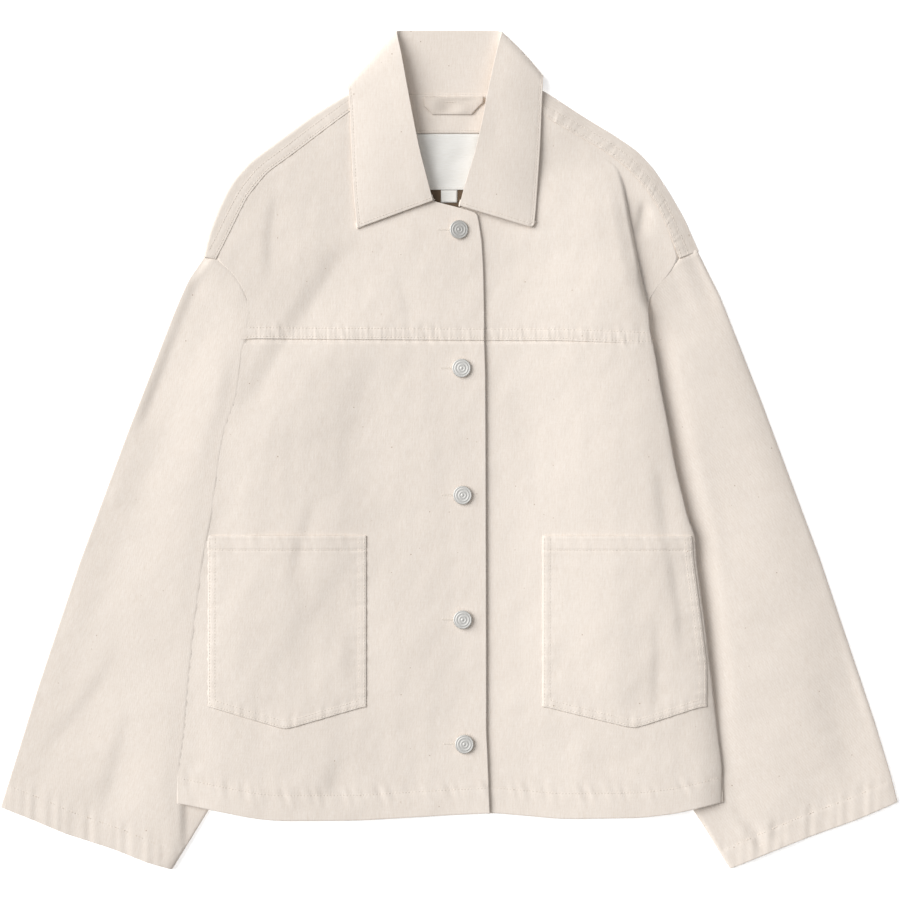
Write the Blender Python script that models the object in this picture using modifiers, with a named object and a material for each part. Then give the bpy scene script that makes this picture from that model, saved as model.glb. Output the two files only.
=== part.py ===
"""A boxy denim jacket laid flat, buttoned, seen from above.

Frame: +X to the viewer's right, +Y towards the collar, +Z up from the surface
that the jacket lies on.  The origin is on that surface, under the middle of
the jacket.  Every piece of cloth is a sheet one wall thick, laid out in rows of
points from the tables below and thickened; the tables are in millimetres.

"left" and "right" in the names are the wearer's.  The wearer's right front is
at negative X and laps over the left front.
"""
import math
from collections import namedtuple

import bmesh
import bpy
import numpy as np
from mathutils import Euler

MM = 0.001

# Driving sizes, in millimetres ------------------------------------------------
CLOTH = 1.2             # wall of one layer of denim
LABEL_CLOTH = 0.6       # wall of the woven label and the size tab
SEAM_GAP = 0.3          # between two pieces that are sewn edge to edge
LAYER_GAP = 0.4         # between two pieces that lie on each other
TUBE_RISE = 4.2         # from the lower layer to the upper one, wall middle to middle
EDGE_RISE = 2.1         # the same at a side fold of the body
FLOOR_LAYER = CLOTH / 2  # height of the middle of a layer that lies on the floor
SLEEVE_LIFT = 6.0       # how far the body back rises where it lies over a sleeve
PLACKET_LIFT = 1.7      # how far the overlapping front rises over the other
NECK_LIFT = 2.0         # how far the back rises over the turned-down collar
FOLD_RADIUS = 1.2       # of a side fold, to the middle of the wall
BUTTON_SIDES = 16
YOKE_SEAM_Y = 103.1     # straight seam across both fronts
BACK_HEM_RISE = 3.0     # the back hem stops this far short of the front hem

# Where the body lies over a sleeve: flat outside OVER_X, down to the floor layer
# inside OVER_X - OVER_RAMP, and level again above the armhole.
OVER_X = 160.0
OVER_RAMP = 42.0
Ramp = namedtuple("Ramp", "start run")
BACK_RAMP = Ramp(116.0, 28.0)
RIGHT_RAMP = Ramp(140.0, 60.0)
LEFT_RAMP = Ramp(190.0, 70.0)

# The wearer's right front (negative X), a row per section: its inner edge (the
# neckline, then the placket edge) and its outer edge (forward shoulder seam,
# armhole seam, then the side fold).
FrontRow = namedtuple("FrontRow", "y inner outer")
RIGHT_YOKE_ROWS = (
    FrontRow(340.0, -67.0, -71.0),
    FrontRow(325.0, -62.0, -87.0),
    FrontRow(301.6, -56.5, -119.0),
    FrontRow(278.8, -49.0, -149.0),
    FrontRow(262.0, -42.0, -172.5),
    FrontRow(240.0, -25.0, -190.5),
    FrontRow(233.0, -12.0, -194.2),
    FrontRow(222.6, 27.0, -199.5),
    FrontRow(197.6, 31.0, -211.7),
    FrontRow(181.0, 32.0, -220.2),
    FrontRow(168.6, 32.6, -205.9),
    FrontRow(158.2, 32.8, -198.3),
    FrontRow(142.0, 33.2, -190.7),
    FrontRow(117.3, 33.5, -193.5),
)
RIGHT_BODY_ROWS = (
    FrontRow(YOKE_SEAM_Y, 33.5, -198.7),
    FrontRow(88.0, 34.0, -200.5),
    FrontRow(70.0, 34.5, -202.5),
    FrontRow(47.0, 34.5, -205.4),
    FrontRow(18.5, 34.7, -215.8),
    FrontRow(-7.0, 34.8, -220.6),
    FrontRow(-58.0, 35.0, -227.2),
    FrontRow(-81.5, 35.0, -232.0),
    FrontRow(-98.0, 35.1, -235.3),
    FrontRow(-175.0, 35.3, -244.8),
    FrontRow(-243.0, 35.4, -251.5),
    FrontRow(-267.0, 35.4, -252.9),
    FrontRow(-299.0, 37.0, -257.6),
    FrontRow(-334.0, 38.6, -257.6),
)

# The wearer's left front (positive X): its inner edge is the neckline and then
# the edge of the button stand under the other front.  Its fold line falls short
# of its outer edge on the yoke, where a soft pleat runs down from the shoulder.
PleatRow = namedtuple("PleatRow", "y inner fold outer pleat")
LEFT_YOKE_ROWS = (
    PleatRow(330.0, 64.0, 67.0, 71.0, 0.0),
    PleatRow(314.0, 60.0, 86.0, 92.0, 0.0),
    PleatRow(301.0, 55.0, 108.0, 115.0, 0.0),
    PleatRow(284.0, 49.0, 137.0, 145.0, 0.0),
    PleatRow(267.4, 43.0, 160.0, 167.6, 0.2),
    PleatRow(248.0, 32.0, 166.3, 185.6, 1.4),
    PleatRow(229.0, 12.0, 169.5, 198.0, 2.6),
    PleatRow(222.0, -10.0, 170.7, 201.0, 2.8),
    PleatRow(205.2, -10.0, 174.0, 208.4, 3.2),
    PleatRow(181.0, -10.0, 178.7, 216.0, 3.4),
    PleatRow(168.0, -10.0, 181.3, 209.0, 3.0),
    PleatRow(154.4, -10.0, 184.0, 197.0, 2.2),
)
LEFT_BODY_EDGE = (
    FrontRow(140.0, -10.0, 188.2),
    FrontRow(117.3, -10.0, 189.8),
    FrontRow(YOKE_SEAM_Y, -10.0, 192.7),
    FrontRow(88.0, -10.0, 195.2),
    FrontRow(62.7, -10.0, 199.3),
    FrontRow(24.2, -10.0, 206.9),
    FrontRow(-13.8, -10.0, 213.6),
    FrontRow(-64.1, -10.0, 225.9),
    FrontRow(-81.5, -10.0, 232.6),
    FrontRow(-105.0, -10.0, 234.0),
    FrontRow(-165.8, -10.0, 242.1),
    FrontRow(-243.0, -10.0, 251.7),
    FrontRow(-265.0, -10.0, 254.4),
    FrontRow(-300.0, -10.0, 259.0),
    FrontRow(-333.0, -10.0, 258.6),
)

# Columns across a front at its widest, from the inner edge outwards.  The
# pockets' side edges are among them, so a pocket follows its front exactly.
RIGHT_COLUMNS = (34.0, 10.0, -14.0, -27.0, -40.0, -59.0, -78.5, -98.0, -118.0,
                 -129.0, -140.0, -150.0, -160.0, -180.0, -204.0, -228.0)
LEFT_COLUMNS = (-10.0, 15.0, 40.0, 64.0, 88.0, 103.0, 118.0, 129.0, 140.0, 150.0,
                160.0, 180.0, 204.0, 229.0)
PLACKET_RAMP = (-40.0, -14.0)   # the overlapping front climbs between these

HemPoint = namedtuple("HemPoint", "x y")
HEM = (
    HemPoint(-257.0, -334.0), HemPoint(-228.0, -339.6), HemPoint(-185.0, -348.2),
    HemPoint(-162.0, -350.4), HemPoint(-85.0, -350.4), HemPoint(10.0, -344.9),
    HemPoint(40.0, -343.4), HemPoint(105.0, -348.7), HemPoint(181.0, -347.2),
    HemPoint(213.0, -343.4), HemPoint(241.0, -337.0), HemPoint(259.0, -332.6),
)
HEM_REACH = 60.0        # the hem's curve dies out this far above it

# The back where it rolls over the shoulders, from the armhole to the neck: the
# outline of the roll and the forward seam, on both sides, and how far the row
# dips across the back of the neck.
ShoulderRow = namedtuple("ShoulderRow", "edge_r_x edge_r_y seam_r_x seam_r_y "
                                        "edge_l_x edge_l_y seam_l_x seam_l_y dip")
SHOULDER_ROWS = (
    ShoulderRow(-232.6, 183.6, -220.9, 181.6, 236.8, 188.8, 217.6, 182.4, 0.0),
    ShoulderRow(-228.2, 205.2, -212.3, 197.6, 223.1, 219.9, 209.1, 205.2, 0.0),
    ShoulderRow(-217.7, 232.3, -200.0, 222.6, 208.8, 244.6, 198.7, 229.4, 0.0),
    ShoulderRow(-205.4, 255.1, -190.8, 240.4, 193.6, 267.4, 186.0, 248.4, 0.0),
    ShoulderRow(-189.2, 273.1, -173.0, 262.4, 178.4, 283.6, 168.0, 268.0, 0.0),
    ShoulderRow(-164.5, 291.2, -149.6, 279.2, 156.1, 298.8, 145.4, 284.4, 7.0),
    ShoulderRow(-127.0, 318.7, -119.4, 302.1, 126.2, 316.8, 115.4, 301.4, 12.0),
    ShoulderRow(-92.0, 339.4, -87.3, 325.6, 92.4, 338.6, 92.4, 314.4, 18.0),
    ShoulderRow(-70.0, 350.0, -71.3, 340.4, 70.0, 350.0, 71.4, 330.6, 16.8),
)
NECK_DIP_X = 80.0
NECK_DIP_RUN = 30.0

# The back below the shoulders: armholes, then the side seams under the fronts.
BackRow = namedtuple("BackRow", "y right left")
BACK_ROWS = (
    BackRow(179.5, -220.8, 219.4),
    BackRow(173.5, -212.9, 214.4),
    BackRow(168.0, -205.7, 209.6),
    BackRow(154.0, -195.6, 196.6),
    BackRow(142.0, -190.4, 192.6),
    BackRow(117.0, -189.0, 189.0),
    BackRow(100.0, -187.0, 187.0),
    BackRow(86.0, -183.0, 183.0),
    BackRow(72.0, -180.0, 180.0),
    BackRow(55.0, -186.0, 186.0),
    BackRow(38.0, -200.0, 198.0),
    BackRow(18.5, -215.7, 208.0),
    BackRow(-7.0, -220.5, 212.4),
    BackRow(-58.0, -227.1, 224.0),
    BackRow(-98.0, -235.2, 233.4),
    BackRow(-175.0, -244.7, 243.2),
    BackRow(-267.0, -252.8, 254.6),
    BackRow(-334.0, -257.4, 258.4),
)
BACK_COLUMNS = (-1.0, -0.87, -0.76, -0.66, -0.6, -0.545, -0.49, -0.38, -0.25, -0.12, 0.0,
                0.12, 0.25, 0.38, 0.49, 0.545, 0.6, 0.66, 0.76, 0.87, 1.0)

# Sleeves: each is a flattened tube between four edges in plan.
EdgePoint = namedtuple("EdgePoint", "x y")
RIGHT_SLEEVE = {
    "armhole": (EdgePoint(-232.9, 181.9), EdgePoint(-221.5, 179.1),
                EdgePoint(-206.3, 168.2), EdgePoint(-198.9, 158.0),
                EdgePoint(-191.3, 142.0), EdgePoint(-194.1, 117.3),
                EdgePoint(-198.7, 103.1), EdgePoint(-190.0, 90.0), EdgePoint(-172.0, 80.0)),
    "cuff": (EdgePoint(-425.1, -338.5), EdgePoint(-395.4, -350.1),
             EdgePoint(-364.0, -363.4), EdgePoint(-319.4, -377.6),
             EdgePoint(-285.2, -390.9), EdgePoint(-262.5, -397.6)),
    "outer": (EdgePoint(-232.9, 181.9), EdgePoint(-247.8, 160.1), EdgePoint(-260.0, 132.5),
              EdgePoint(-305.0, 17.0), EdgePoint(-351.0, -107.0),
              EdgePoint(-390.0, -224.0), EdgePoint(-425.1, -338.5)),
    "inner": (EdgePoint(-172.0, 80.0), EdgePoint(-166.0, 20.0), EdgePoint(-164.0, -80.0),
              EdgePoint(-166.0, -160.0), EdgePoint(-176.0, -230.0),
              EdgePoint(-200.0, -296.0), EdgePoint(-227.2, -340.6),
              EdgePoint(-262.5, -397.6)),
}
LEFT_SLEEVE = {
    "armhole": (EdgePoint(236.9, 187.2), EdgePoint(221.4, 180.8), EdgePoint(215.7, 174.0),
                EdgePoint(197.8, 154.0), EdgePoint(193.4, 135.0), EdgePoint(193.0, 103.0),
                EdgePoint(187.0, 90.0), EdgePoint(172.0, 80.0)),
    "cuff": (EdgePoint(425.1, -333.6), EdgePoint(386.5, -350.1), EdgePoint(339.0, -367.2),
             EdgePoint(301.0, -382.4), EdgePoint(266.0, -397.0)),
    "outer": (EdgePoint(236.9, 187.2), EdgePoint(257.3, 144.9), EdgePoint(295.3, 48.9),
              EdgePoint(352.0, -103.0), EdgePoint(403.7, -257.0),
              EdgePoint(417.8, -304.5), EdgePoint(425.1, -333.6)),
    "inner": (EdgePoint(172.0, 80.0), EdgePoint(166.0, 20.0), EdgePoint(164.0, -80.0),
              EdgePoint(166.0, -160.0), EdgePoint(178.0, -235.0),
              EdgePoint(204.0, -298.0), EdgePoint(231.6, -342.1),
              EdgePoint(266.0, -397.0)),
}
SLEEVE_LENGTHWISE = (0.0, 0.05, 0.12, 0.22, 0.34, 0.46, 0.58, 0.7, 0.8, 0.9, 1.0)
SLEEVE_ACROSS = 9       # points across each layer of a sleeve

# The collar, a row per section from one front point round the neck to the
# other: the neck seam, the outermost point of the roll, the free edge, which
# way the roll faces in plan (over) and how the fall leaves it (out: 90 above
# the stand, -90 below it).
CollarRow = namedtuple("CollarRow", "neck_x neck_y neck_z roll_x roll_y roll_z "
                                    "edge_x edge_y edge_z over out")
COLLAR_RIGHT_HALF = (
    CollarRow(-14.2, 236.4, 7.9, -15.4, 236.0, 10.6, -86.6, 210.4, 7.0, 12.0, 90.0),
    CollarRow(-23.2, 243.4, 6.6, -19.6, 255.0, 11.6, -88.8, 229.0, 7.0, 12.0, 90.0),
    CollarRow(-40.4, 264.8, 5.6, -25.8, 284.0, 12.6, -91.0, 258.0, 7.2, 12.0, 90.0),
    CollarRow(-51.6, 291.0, 6.8, -32.4, 315.0, 13.0, -92.2, 286.0, 7.9, 12.0, 90.0),
    CollarRow(-57.6, 312.0, 7.4, -38.8, 346.0, 12.2, -93.0, 312.0, 8.7, 12.0, 90.0),
    CollarRow(-60.6, 326.0, 6.9, -44.4, 373.0, 9.6, -94.2, 333.0, 8.8, 16.0, 82.0),
    CollarRow(-61.5, 334.0, 6.0, -48.4, 390.0, 7.2, -95.4, 342.0, 8.3, 32.0, 55.0),
    CollarRow(-61.5, 339.0, 4.9, -49.8, 397.0, 4.7, -96.2, 345.4, 4.7, 55.0, 0.0),
    CollarRow(-59.0, 337.0, 3.6, -46.5, 397.6, 2.6, -94.0, 343.6, 1.1, 82.0, -65.0),
    CollarRow(-50.0, 333.9, 2.6, -40.0, 397.6, 1.6, -84.0, 334.0, 0.6, 90.0, -90.0),
    CollarRow(-25.0, 333.5, 2.6, -20.0, 397.8, 1.6, -44.0, 322.0, 0.6, 90.0, -90.0),
)
COLLAR_BACK = CollarRow(0.0, 333.5, 2.6, 0.0, 397.9, 1.6, 0.0, 319.0, 0.6, 90.0, -90.0)
COLLAR_LEFT_HALF = (
    CollarRow(25.0, 333.5, 2.6, 20.0, 397.8, 1.6, 42.0, 322.0, 0.6, 90.0, -90.0),
    CollarRow(50.0, 333.9, 2.6, 40.0, 397.6, 1.6, 76.0, 338.0, 0.6, 90.0, -90.0),
    CollarRow(59.0, 337.0, 3.6, 46.5, 397.4, 2.6, 86.4, 352.4, 1.1, 98.0, -65.0),
    CollarRow(61.5, 338.0, 4.9, 50.2, 396.2, 4.7, 89.0, 355.0, 4.7, 125.0, 0.0),
    CollarRow(61.5, 331.0, 6.0, 48.0, 390.0, 7.2, 88.6, 350.0, 8.3, 148.0, 55.0),
    CollarRow(60.6, 323.0, 6.9, 43.4, 371.0, 9.6, 87.8, 337.0, 8.8, 164.0, 82.0),
    CollarRow(56.6, 306.0, 7.4, 36.6, 340.0, 12.2, 86.8, 312.0, 8.7, 168.0, 90.0),
    CollarRow(50.0, 287.0, 6.8, 30.8, 309.0, 12.8, 85.6, 286.0, 7.9, 167.0, 90.0),
    CollarRow(41.4, 266.0, 5.4, 24.0, 280.0, 12.0, 83.8, 258.0, 7.2, 164.0, 90.0),
    CollarRow(31.0, 249.4, 5.4, 15.8, 254.0, 11.2, 81.8, 229.0, 7.0, 164.0, 90.0),
    CollarRow(11.8, 234.0, 7.9, 9.8, 231.4, 10.4, 79.6, 210.4, 7.0, 164.0, 90.0),
)
ROLL_RADIUS = 1.0       # of the collar's roll, to the middle of the wall
FALL_SHARES = (0.28, 0.55, 0.8, 1.0)    # points along the fall, roll to free edge

# Small pieces: their edges in plan, and what each lies on.
Patch = namedtuple("Patch", "x_low x_high y_low y_high")
NECK_FACING = Patch(-50.0, 50.0, 299.7, 332.6)
LABEL = Patch(-32.5, 29.3, 246.5, 299.3)
SIZE_TAB = Patch(-7.8, 7.9, 234.2, 246.2)
HANGER_LOOP = Patch(-23.9, 33.0, 317.6, 334.4)
LOOP_TAPER = 9.0        # the loop's ends are cut back this much at the bottom

PocketShape = namedtuple("PocketShape", "top side_bottom point point_x")
RIGHT_POCKET = PocketShape(-81.5, -243.0, -265.1, -155.0)
LEFT_POCKET = PocketShape(-81.5, -243.0, -263.6, 174.6)
RIGHT_POCKET_COLUMNS = (6, 16)  # which front columns the pocket runs between
LEFT_POCKET_COLUMNS = (4, 14)
BOTTOM_STEP = 2.0       # from a pocket's last straight row to its pointed edge

ButtonPlace = namedtuple("ButtonPlace", "x y tilt")
BUTTONS = (
    ButtonPlace(8.9, 208.1, 9.0),
    ButtonPlace(11.7, 77.0, 0.0),
    ButtonPlace(12.6, -43.2, 0.0),
    ButtonPlace(12.7, -161.0, 0.0),
    ButtonPlace(14.4, -278.8, 0.0),
)
# A tack button's half outline, above the cloth, from the middle of its top down.
BUTTON_PROFILE = ((0.0, 4.0), (2.2, 3.9), (3.0, 3.6), (5.8, 3.8), (7.4, 3.9), (9.0, 3.5),
                  (9.5, 2.8), (9.1, 2.0), (3.6, 1.8), (3.2, 0.0), (0.0, 0.0))
BUTTON_SEAT = 0.8       # clear of the cloth under it, as on its shank


# Heights ------------------------------------------------------------------------
def smooth(share):
    """Ease from 0 to 1 as share does."""
    t = min(max(share, 0.0), 1.0)
    return t * t * (3.0 - 2.0 * t)


def column(rows, at, value, name):
    """Read one named column of a table at a height y, between its rows."""
    ys = [getattr(row, at) for row in rows]
    values = [getattr(row, name) for row in rows]
    order = np.argsort(ys)
    return float(np.interp(value, np.array(ys)[order], np.array(values)[order]))


def sleeve_lift(x, y, ramp):
    """Rise of the body where a sleeve lies under it."""
    across = smooth((abs(x) - OVER_X + OVER_RAMP) / OVER_RAMP)
    return SLEEVE_LIFT * across * smooth((ramp.start - y) / ramp.run)


def neck_lift(x, y):
    """Rise of the back where the turned-down collar lies under it."""
    return NECK_LIFT * smooth((135.0 - abs(x)) / 35.0) * smooth((y - 268.0) / 35.0)


def back_height(x, y):
    """Height of the middle of the back's wall."""
    return FLOOR_LAYER + sleeve_lift(x, y, BACK_RAMP) + neck_lift(x, y)


def front_height(x, y, fold_x, ramp, pleat=0.0):
    """Height of the middle of a front's wall; fold_x is its side fold's place."""
    height = FLOOR_LAYER + sleeve_lift(x, y, ramp) + neck_lift(x, y)
    near_fold = 1.0 - smooth((abs(fold_x) - abs(x)) / 50.0)
    pressed = (TUBE_RISE - EDGE_RISE) * near_fold * smooth((ramp.start - y) / ramp.run)
    ridge = pleat * (1.0 - smooth((abs(fold_x) - abs(x)) / 38.0))
    return height + TUBE_RISE - pressed + ridge


def right_front_height(x, y):
    """The overlapping front, with its rise over the other one."""
    fold = column(RIGHT_YOKE_ROWS + RIGHT_BODY_ROWS, "y", y, "outer")
    start, end = PLACKET_RAMP
    lap = PLACKET_LIFT * smooth((x - start) / (end - start))
    return front_height(x, y, fold, RIGHT_RAMP) + lap


def left_front_height(x, y, pleat=0.0):
    """The front beneath; its pleat is given by the row."""
    yoke_folds = [FrontRow(row.y, row.inner, row.fold) for row in LEFT_YOKE_ROWS]
    fold = column(tuple(yoke_folds) + LEFT_BODY_EDGE, "y", y, "outer")
    return front_height(x, y, fold, LEFT_RAMP, pleat)


def hem_sag(x, y):
    """How far a row near the hem is moved to follow the hem's curve."""
    curve = float(np.interp(x, [p.x for p in HEM], [p.y for p in HEM]))
    base = RIGHT_BODY_ROWS[-1].y
    return (curve - base) * smooth((base + HEM_REACH - y) / HEM_REACH)


# Rows of points -----------------------------------------------------------------
def spread(columns, inner, outer):
    """Columns scaled to run from inner to outer."""
    first, last = columns[0], columns[-1]
    return [inner + (outer - inner) * (c - first) / (last - first) for c in columns]


def folded_section(columns, row, height_at, side):
    """A body front's row: flat to the side fold, then a quarter turn down."""
    limit = side * (abs(columns[-1]) + 2.0)
    outer = row.outer if abs(row.outer) < abs(limit) else limit
    flat_end = row.outer - side * (CLOTH / 2 + FOLD_RADIUS)
    xs = spread(columns, row.inner, outer - side * 2.0) + [flat_end]
    points = [(x, row.y + hem_sag(x, row.y), height_at(x, row.y)) for x in xs]
    x, y, z = points[-1]
    for turn in (30.0, 60.0, 90.0):
        a = math.radians(turn)
        points.append((x + side * FOLD_RADIUS * math.sin(a), y,
                       z - FOLD_RADIUS * (1.0 - math.cos(a))))
    return points


def right_yoke_grid():
    """Wearer's right front above the yoke seam."""
    seam = FrontRow(YOKE_SEAM_Y + SEAM_GAP, RIGHT_BODY_ROWS[0].inner, -198.2)
    rows = []
    for row in RIGHT_YOKE_ROWS + (seam,):
        xs = spread(RIGHT_COLUMNS, row.inner, row.outer)
        rows.append([(x, row.y, right_front_height(x, row.y)) for x in xs])
    return rows


def left_yoke_grid():
    """Wearer's left front above the yoke seam, with its pleat."""
    rows = []
    for row in LEFT_YOKE_ROWS:
        ridge = left_front_height(row.fold, row.y, row.pleat)
        floor = ridge - row.pleat
        section = [(x, row.y, left_front_height(x, row.y, row.pleat))
                   for x in spread(LEFT_COLUMNS, row.inner, row.fold - 2.0)]
        beyond = row.outer - row.fold
        section.append((row.fold, row.y, ridge - 0.15 * row.pleat))
        section.append((row.fold + 0.12 * beyond, row.y, floor + 0.45 * row.pleat))
        section.append((row.fold + 0.4 * beyond, row.y, floor))
        section.append((row.outer, row.y, floor))
        rows.append(section)
    folded = [row for row in LEFT_BODY_EDGE if row.y > YOKE_SEAM_Y]
    folded.append(FrontRow(YOKE_SEAM_Y + SEAM_GAP, -10.0, 192.7))
    for row in folded:
        rows.append(folded_section(LEFT_COLUMNS, row, left_front_height, 1.0))
    return rows


def body_grid(rows, columns, height_at, side):
    """A front below the yoke seam."""
    return [folded_section(columns, row, height_at, side) for row in rows]


def pocket_grid(front_rows, columns, span, shape, height_at):
    """A patch pocket, from its front's columns, moved out by a layer."""
    first, last = span
    xs = columns[first:last]
    ys = [row.y for row in front_rows if shape.side_bottom <= row.y <= shape.top]
    lift = CLOTH + LAYER_GAP
    grid = [[(x, y, height_at(x, y) + lift) for x in xs] for y in ys]
    slope_x = sorted((xs[0], shape.point_x, xs[-1]))
    slope_y = (shape.side_bottom - BOTTOM_STEP, shape.point, shape.side_bottom - BOTTOM_STEP)
    bottom = []
    for x in xs:
        y = float(np.interp(x, slope_x, slope_y))
        bottom.append((x, y, height_at(x, y) + lift))
    grid.append(bottom)
    return grid


def shoulder_section(row):
    """Forward seam, over the shoulder, across the back and over the other one."""
    edge_r = (row.edge_r_x, row.edge_r_y)
    edge_l = (row.edge_l_x, row.edge_l_y)
    over_r = roll_over(edge_r, (row.seam_r_x, row.seam_r_y))
    over_l = roll_over(edge_l, (row.seam_l_x, row.seam_l_y))
    start, end = over_r[-1], over_l[-1]
    middle = 0.5 * (start[0] + end[0])
    half = 0.5 * (end[0] - start[0])
    across = []
    for share in BACK_COLUMNS[1:-1]:
        x = middle + half * share
        y = start[1] + (end[1] - start[1]) * 0.5 * (share + 1.0)
        y -= row.dip * smooth((NECK_DIP_X - abs(x)) / NECK_DIP_RUN)
        across.append((x, y, back_height(x, y)))
    return over_r, [start] + across + [end], over_l


def roll_over(edge, seam):
    """Points from the forward seam to the floor layer, round a shoulder's fold."""
    run = math.hypot(seam[0] - edge[0], seam[1] - edge[1])
    inward = ((seam[0] - edge[0]) / run, (seam[1] - edge[1]) / run)
    radius = TUBE_RISE / 2
    inset = radius + CLOTH / 2
    centre = (edge[0] + inward[0] * inset, edge[1] + inward[1] * inset)
    low = back_height(centre[0], centre[1])
    points = [(seam[0], seam[1], low + TUBE_RISE),
              (centre[0], centre[1], low + TUBE_RISE)]
    for turn in (45.0, 90.0, 135.0, 180.0):
        a = math.radians(turn)
        out = radius * math.sin(a)
        points.append((centre[0] - inward[0] * out, centre[1] - inward[1] * out,
                       low + radius + radius * math.cos(a)))
    return points


def back_grids():
    """The back: a sheet from the hem up, and the part that rolls over the shoulders."""
    upper, across_rows = [], []
    for row in SHOULDER_ROWS:
        over_r, across, over_l = shoulder_section(row)
        upper.append(over_r[:-1] + across + over_l[-2::-1])
        across_rows.append(across)
    lower = [across_rows[0]]
    for row in BACK_ROWS:
        middle, half = 0.5 * (row.right + row.left), 0.5 * (row.left - row.right)
        section = []
        for share in BACK_COLUMNS:
            x = middle + half * share
            y = row.y + hem_sag(x, row.y) + BACK_HEM_RISE * smooth((-270.0 - row.y) / 60.0)
            section.append((x, y, back_height(x, row.y)))
        lower.append(section)
    return lower, upper


def edge_point(points, share):
    """A point a share of the way along an edge, by length."""
    xs = np.array([p.x for p in points])
    ys = np.array([p.y for p in points])
    run = np.concatenate([[0.0], np.cumsum(np.hypot(np.diff(xs), np.diff(ys)))])
    return np.array([np.interp(share * run[-1], run, xs), np.interp(share * run[-1], run, ys)])


def between_edges(edges, across, along):
    """A point inside four edges: a Coons patch in plan."""
    top, bottom = edge_point(edges["armhole"], across), edge_point(edges["cuff"], across)
    outer, inner = edge_point(edges["outer"], along), edge_point(edges["inner"], along)
    corners = ((1 - across) * (1 - along) * edge_point(edges["armhole"], 0.0)
               + across * (1 - along) * edge_point(edges["armhole"], 1.0)
               + (1 - across) * along * edge_point(edges["cuff"], 0.0)
               + across * along * edge_point(edges["cuff"], 1.0))
    return (1 - along) * top + along * bottom + (1 - across) * outer + across * inner - corners


def sleeve_rings(edges):
    """A sleeve's rings: the upper layer, the inner fold, the lower layer, the outer fold."""
    radius = TUBE_RISE / 2
    inset = radius + CLOTH / 2
    rings = []
    for along in SLEEVE_LENGTHWISE:
        width = np.linalg.norm(between_edges(edges, 1.0, along) - between_edges(edges, 0.0, along))
        margin = inset / width
        plan = [between_edges(edges, s, along)
                for s in np.linspace(margin, 1.0 - margin, SLEEVE_ACROSS)]
        ring = [(p[0], p[1], FLOOR_LAYER + TUBE_RISE) for p in plan]
        ring += fold_points(plan[-1], plan[-1] - plan[-2], radius, 1.0)
        ring += [(p[0], p[1], FLOOR_LAYER) for p in reversed(plan)]
        ring += fold_points(plan[0], plan[0] - plan[1], radius, -1.0)
        rings.append(ring + [ring[0]])
    return rings


def fold_points(centre, outward, radius, way):
    """Points round a sleeve's side fold; way 1 turns down, -1 up."""
    outward = outward / np.linalg.norm(outward)
    points = []
    for turn in (45.0, 90.0, 135.0):
        a = math.radians(turn)
        x, y = centre + outward * radius * math.sin(a)
        points.append((x, y, FLOOR_LAYER + radius + way * radius * math.cos(a)))
    return points


def collar_section(row, side):
    """Neck seam, stand, roll, fall and free edge of one collar row."""
    over = math.radians(row.over)
    out = math.radians(row.out)
    facing = np.array([math.cos(over), math.sin(over), 0.0])
    level = np.array([math.sin(over), -math.cos(over), 0.0]) * side
    away = math.cos(out) * level + math.sin(out) * np.array([0.0, 0.0, 1.0])
    roll = np.array([row.roll_x, row.roll_y, row.roll_z])
    centre = roll - facing * (ROLL_RADIUS + CLOTH / 2)
    neck = np.array([row.neck_x, row.neck_y, row.neck_z])
    edge = np.array([row.edge_x, row.edge_y, row.edge_z])
    under = centre - away * ROLL_RADIUS
    above = centre + away * ROLL_RADIUS
    points = [neck, neck + 0.5 * (under - neck), under]
    for turn in (45.0, 90.0, 135.0):
        a = math.radians(turn)
        points.append(centre + ROLL_RADIUS * (facing * math.sin(a) - away * math.cos(a)))
    points.append(above)
    points += [above + share * (edge - above) for share in FALL_SHARES]
    return [tuple(p) for p in points]


def collar_grid():
    """The whole collar, from the wearer's right front point to the left one."""
    rows = [collar_section(row, -1.0) for row in COLLAR_RIGHT_HALF]
    rows.append(collar_section(COLLAR_BACK, 1.0))
    rows += [collar_section(row, 1.0) for row in COLLAR_LEFT_HALF]
    return rows


def patch_grid(patch, lift, across, down, taper=0.0):
    """A small flat piece that lies on the back, moved out by lift."""
    grid = []
    for y in np.linspace(patch.y_high, patch.y_low, down):
        cut = taper * smooth((patch.y_high - y) / (patch.y_high - patch.y_low))
        xs = np.linspace(patch.x_low + cut, patch.x_high - cut, across)
        grid.append([(x, y, back_height(x, min(y, NECK_FACING.y_high)) + lift) for x in xs])
    return grid


# Objects ------------------------------------------------------------------------
def material(name, colour, roughness, metallic=0.0):
    """A plain Principled material."""
    made = bpy.data.materials.new(name)
    made.use_nodes = True
    shader = made.node_tree.nodes["Principled BSDF"]
    shader.inputs["Base Color"].default_value = (*colour, 1.0)
    shader.inputs["Roughness"].default_value = roughness
    shader.inputs["Metallic"].default_value = metallic
    return made


def add_grid(bm, grid):
    """Add a grid of faces through rows of points given in millimetres."""
    across, down = len(grid[0]) - 1, len(grid) - 1
    made = bmesh.ops.create_grid(bm, x_segments=across, y_segments=down, size=1.0)
    for vert in made["verts"]:
        i = round((vert.co.x + 1.0) / 2.0 * across)
        j = round((vert.co.y + 1.0) / 2.0 * down)
        x, y, z = grid[j][i]
        vert.co = (x * MM, y * MM, z * MM)


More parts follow.
